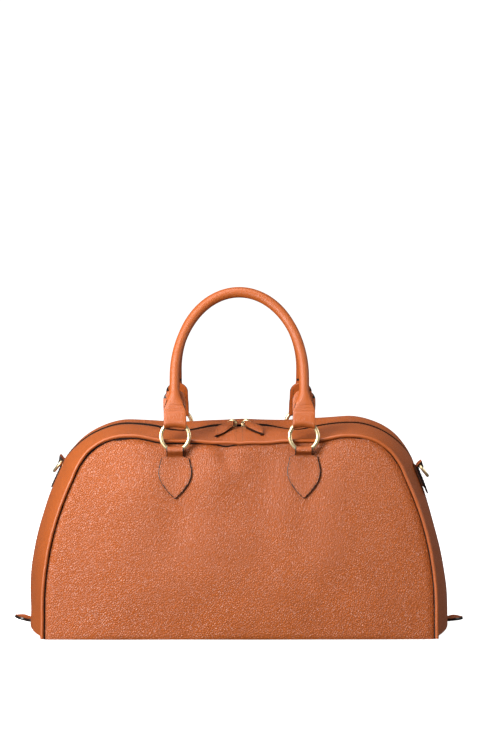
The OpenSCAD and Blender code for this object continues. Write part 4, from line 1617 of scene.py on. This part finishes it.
class BAG_OT_inner_parts(bpy.types.Operator):
    """Gives the base board, the tab backings and the handle cords their own finishes"""
    bl_idname = "bag.inner_parts"
    bl_label = "Board, backings and cords"

    def execute(self, context):
        plain = {
            "base_board": "fibre_board",
            "tab_backing_front": "backing_leather",
            "tab_backing_back": "backing_leather",
            "handle_core_front": "cotton_cord",
            "handle_core_back": "cotton_cord",
        }
        for name, node in frame["nodes"].items():
            node.data.materials.clear()
            node.data.materials.append(finish(plain.get(name, "pebbled_leather")))
        return {"FINISHED"}


# ---------------------------------------------------------------- stage

def area_light(name, place, target, width, height, watts, colour=(1.0, 1.0, 1.0)):
    light = bpy.data.lights.new(name, "AREA")
    light.shape = "RECTANGLE"
    light.size, light.size_y = width, height
    light.energy = watts
    light.color = colour
    obj = bpy.data.objects.new(name, light)
    bpy.context.scene.collection.objects.link(obj)
    obj.location = place
    obj.rotation_euler = (Vector(target) - Vector(place)).to_track_quat("-Z", "Y").to_euler()


class BAG_OT_stage(bpy.types.Operator):
    """Sets the floor, the soft light and the camera"""
    bl_idname = "bag.stage"
    bl_label = "Stage"

    def execute(self, context):
        self.floor()
        self.world(context.scene)
        area_light("window", (-1.10, -1.10, 0.82), (-0.03, 0.0, 0.14), 0.8, 1.0, 50, (1.0, 0.99, 0.975))
        area_light("glint", (-0.60, -1.60, 0.56), (-0.10, -0.1, 0.18), 0.35, 0.5, 6)
        area_light("top_panel_light", (-0.3, -0.25, 2.1), (0.0, 0.0, 0.2), 1.2, 1.2, 34)
        area_light("side_panel_light", (1.5, -0.35, 0.7), (0.2, 0.0, 0.13), 0.8, 0.8, 7)
        self.camera(context.scene)
        context.scene.view_settings.view_transform = "Standard"
        return {"FINISHED"}

    def floor(self):
        clear_selection()
        bpy.ops.mesh.primitive_grid_add(x_subdivisions=4, y_subdivisions=4, size=60)
        obj = named("floor")
        f = Finish("pale_floor", 0.7)
        f.set(Base_Color=f.tinted(f.noise(1.5, 2.0), (0.80, 0.80, 0.80, 1.0), (0.82, 0.82, 0.82, 1.0)))
        f.set(Emission_Color=(1.0, 1.0, 1.0, 1.0), Emission_Strength=1.0)
        obj.data.materials.append(f.material)
        obj.data.transform(Matrix.Translation((0.0, 0.0, -0.0004)))
        obj.visible_diffuse = False
        obj.visible_glossy = False

    def world(self, scene):
        """White to the camera, and a gentler white as light."""
        world = bpy.data.worlds.new("studio")
        world.use_nodes = True
        tree = world.node_tree
        background = tree.nodes["Background"]
        rays = tree.nodes.new("ShaderNodeLightPath")
        strength = tree.nodes.new("ShaderNodeMapRange")
        strength.inputs["To Min"].default_value = 0.12
        strength.inputs["To Max"].default_value = 1.1
        tree.links.new(rays.outputs["Is Camera Ray"], strength.inputs["Value"])
        tree.links.new(strength.outputs["Result"], background.inputs["Strength"])
        background.inputs["Color"].default_value = (1.0, 1.0, 1.0, 1.0)
        scene.world = world

    def camera(self, scene):
        camera = bpy.data.cameras.new("camera")
        camera.sensor_fit = "VERTICAL"
        camera.sensor_height = 36.0
        camera.lens = 97.1
        obj = bpy.data.objects.new("camera", camera)
        scene.collection.objects.link(obj)
        obj.location = (-0.012, -2.5, 0.521)
        target = Vector((-0.0002, 0.0, 0.3266))
        obj.rotation_euler = (target - obj.location).to_track_quat("-Z", "Y").to_euler()
        scene.camera = obj


# ---------------------------------------------------------------- the add-on

OPERATORS = (
    BAG_OT_finishes, BAG_OT_panels, BAG_OT_gussets, BAG_OT_piping, BAG_OT_zip, BAG_OT_sliders, BAG_OT_pulls,
    BAG_OT_handle_tabs, BAG_OT_handle_rings, BAG_OT_handles, BAG_OT_end_rings, BAG_OT_end_tabs, BAG_OT_linings,
    BAG_OT_pockets, BAG_OT_inner_parts, BAG_OT_stage,
)


class BAG_PT_sidebar(bpy.types.Panel):
    """The bag's steps, in the order in which they are made"""
    bl_idname = "BAG_PT_sidebar"
    bl_label = "Weekender Bag"
    bl_space_type = "VIEW_3D"
    bl_region_type = "UI"
    bl_category = "Bag"

    def draw(self, context):
        for operator in OPERATORS:
            self.layout.operator(operator.bl_idname)
        for group in (context.scene.bag_shape, context.scene.bag_handle, context.scene.bag_finish):
            box = self.layout.box()
            for name in group.__annotations__:
                box.prop(group, name)


SETTINGS = {"bag_shape": BagShape, "bag_handle": HandleShape, "bag_finish": BagFinish}


def register():
    for cls in (*SETTINGS.values(), *OPERATORS, BAG_PT_sidebar):
        bpy.utils.register_class(cls)
    for name, cls in SETTINGS.items():
        setattr(bpy.types.Scene, name, bpy.props.PointerProperty(type=cls))


def unregister():
    for name in SETTINGS:
        delattr(bpy.types.Scene, name)
    for cls in reversed((*SETTINGS.values(), *OPERATORS, BAG_PT_sidebar)):
        bpy.utils.unregister_class(cls)


def main():
    register()
    for operator in OPERATORS:
        group, name = operator.bl_idname.split(".")
        getattr(getattr(bpy.ops, group), name)()


if __name__ == "__main__":
    main()
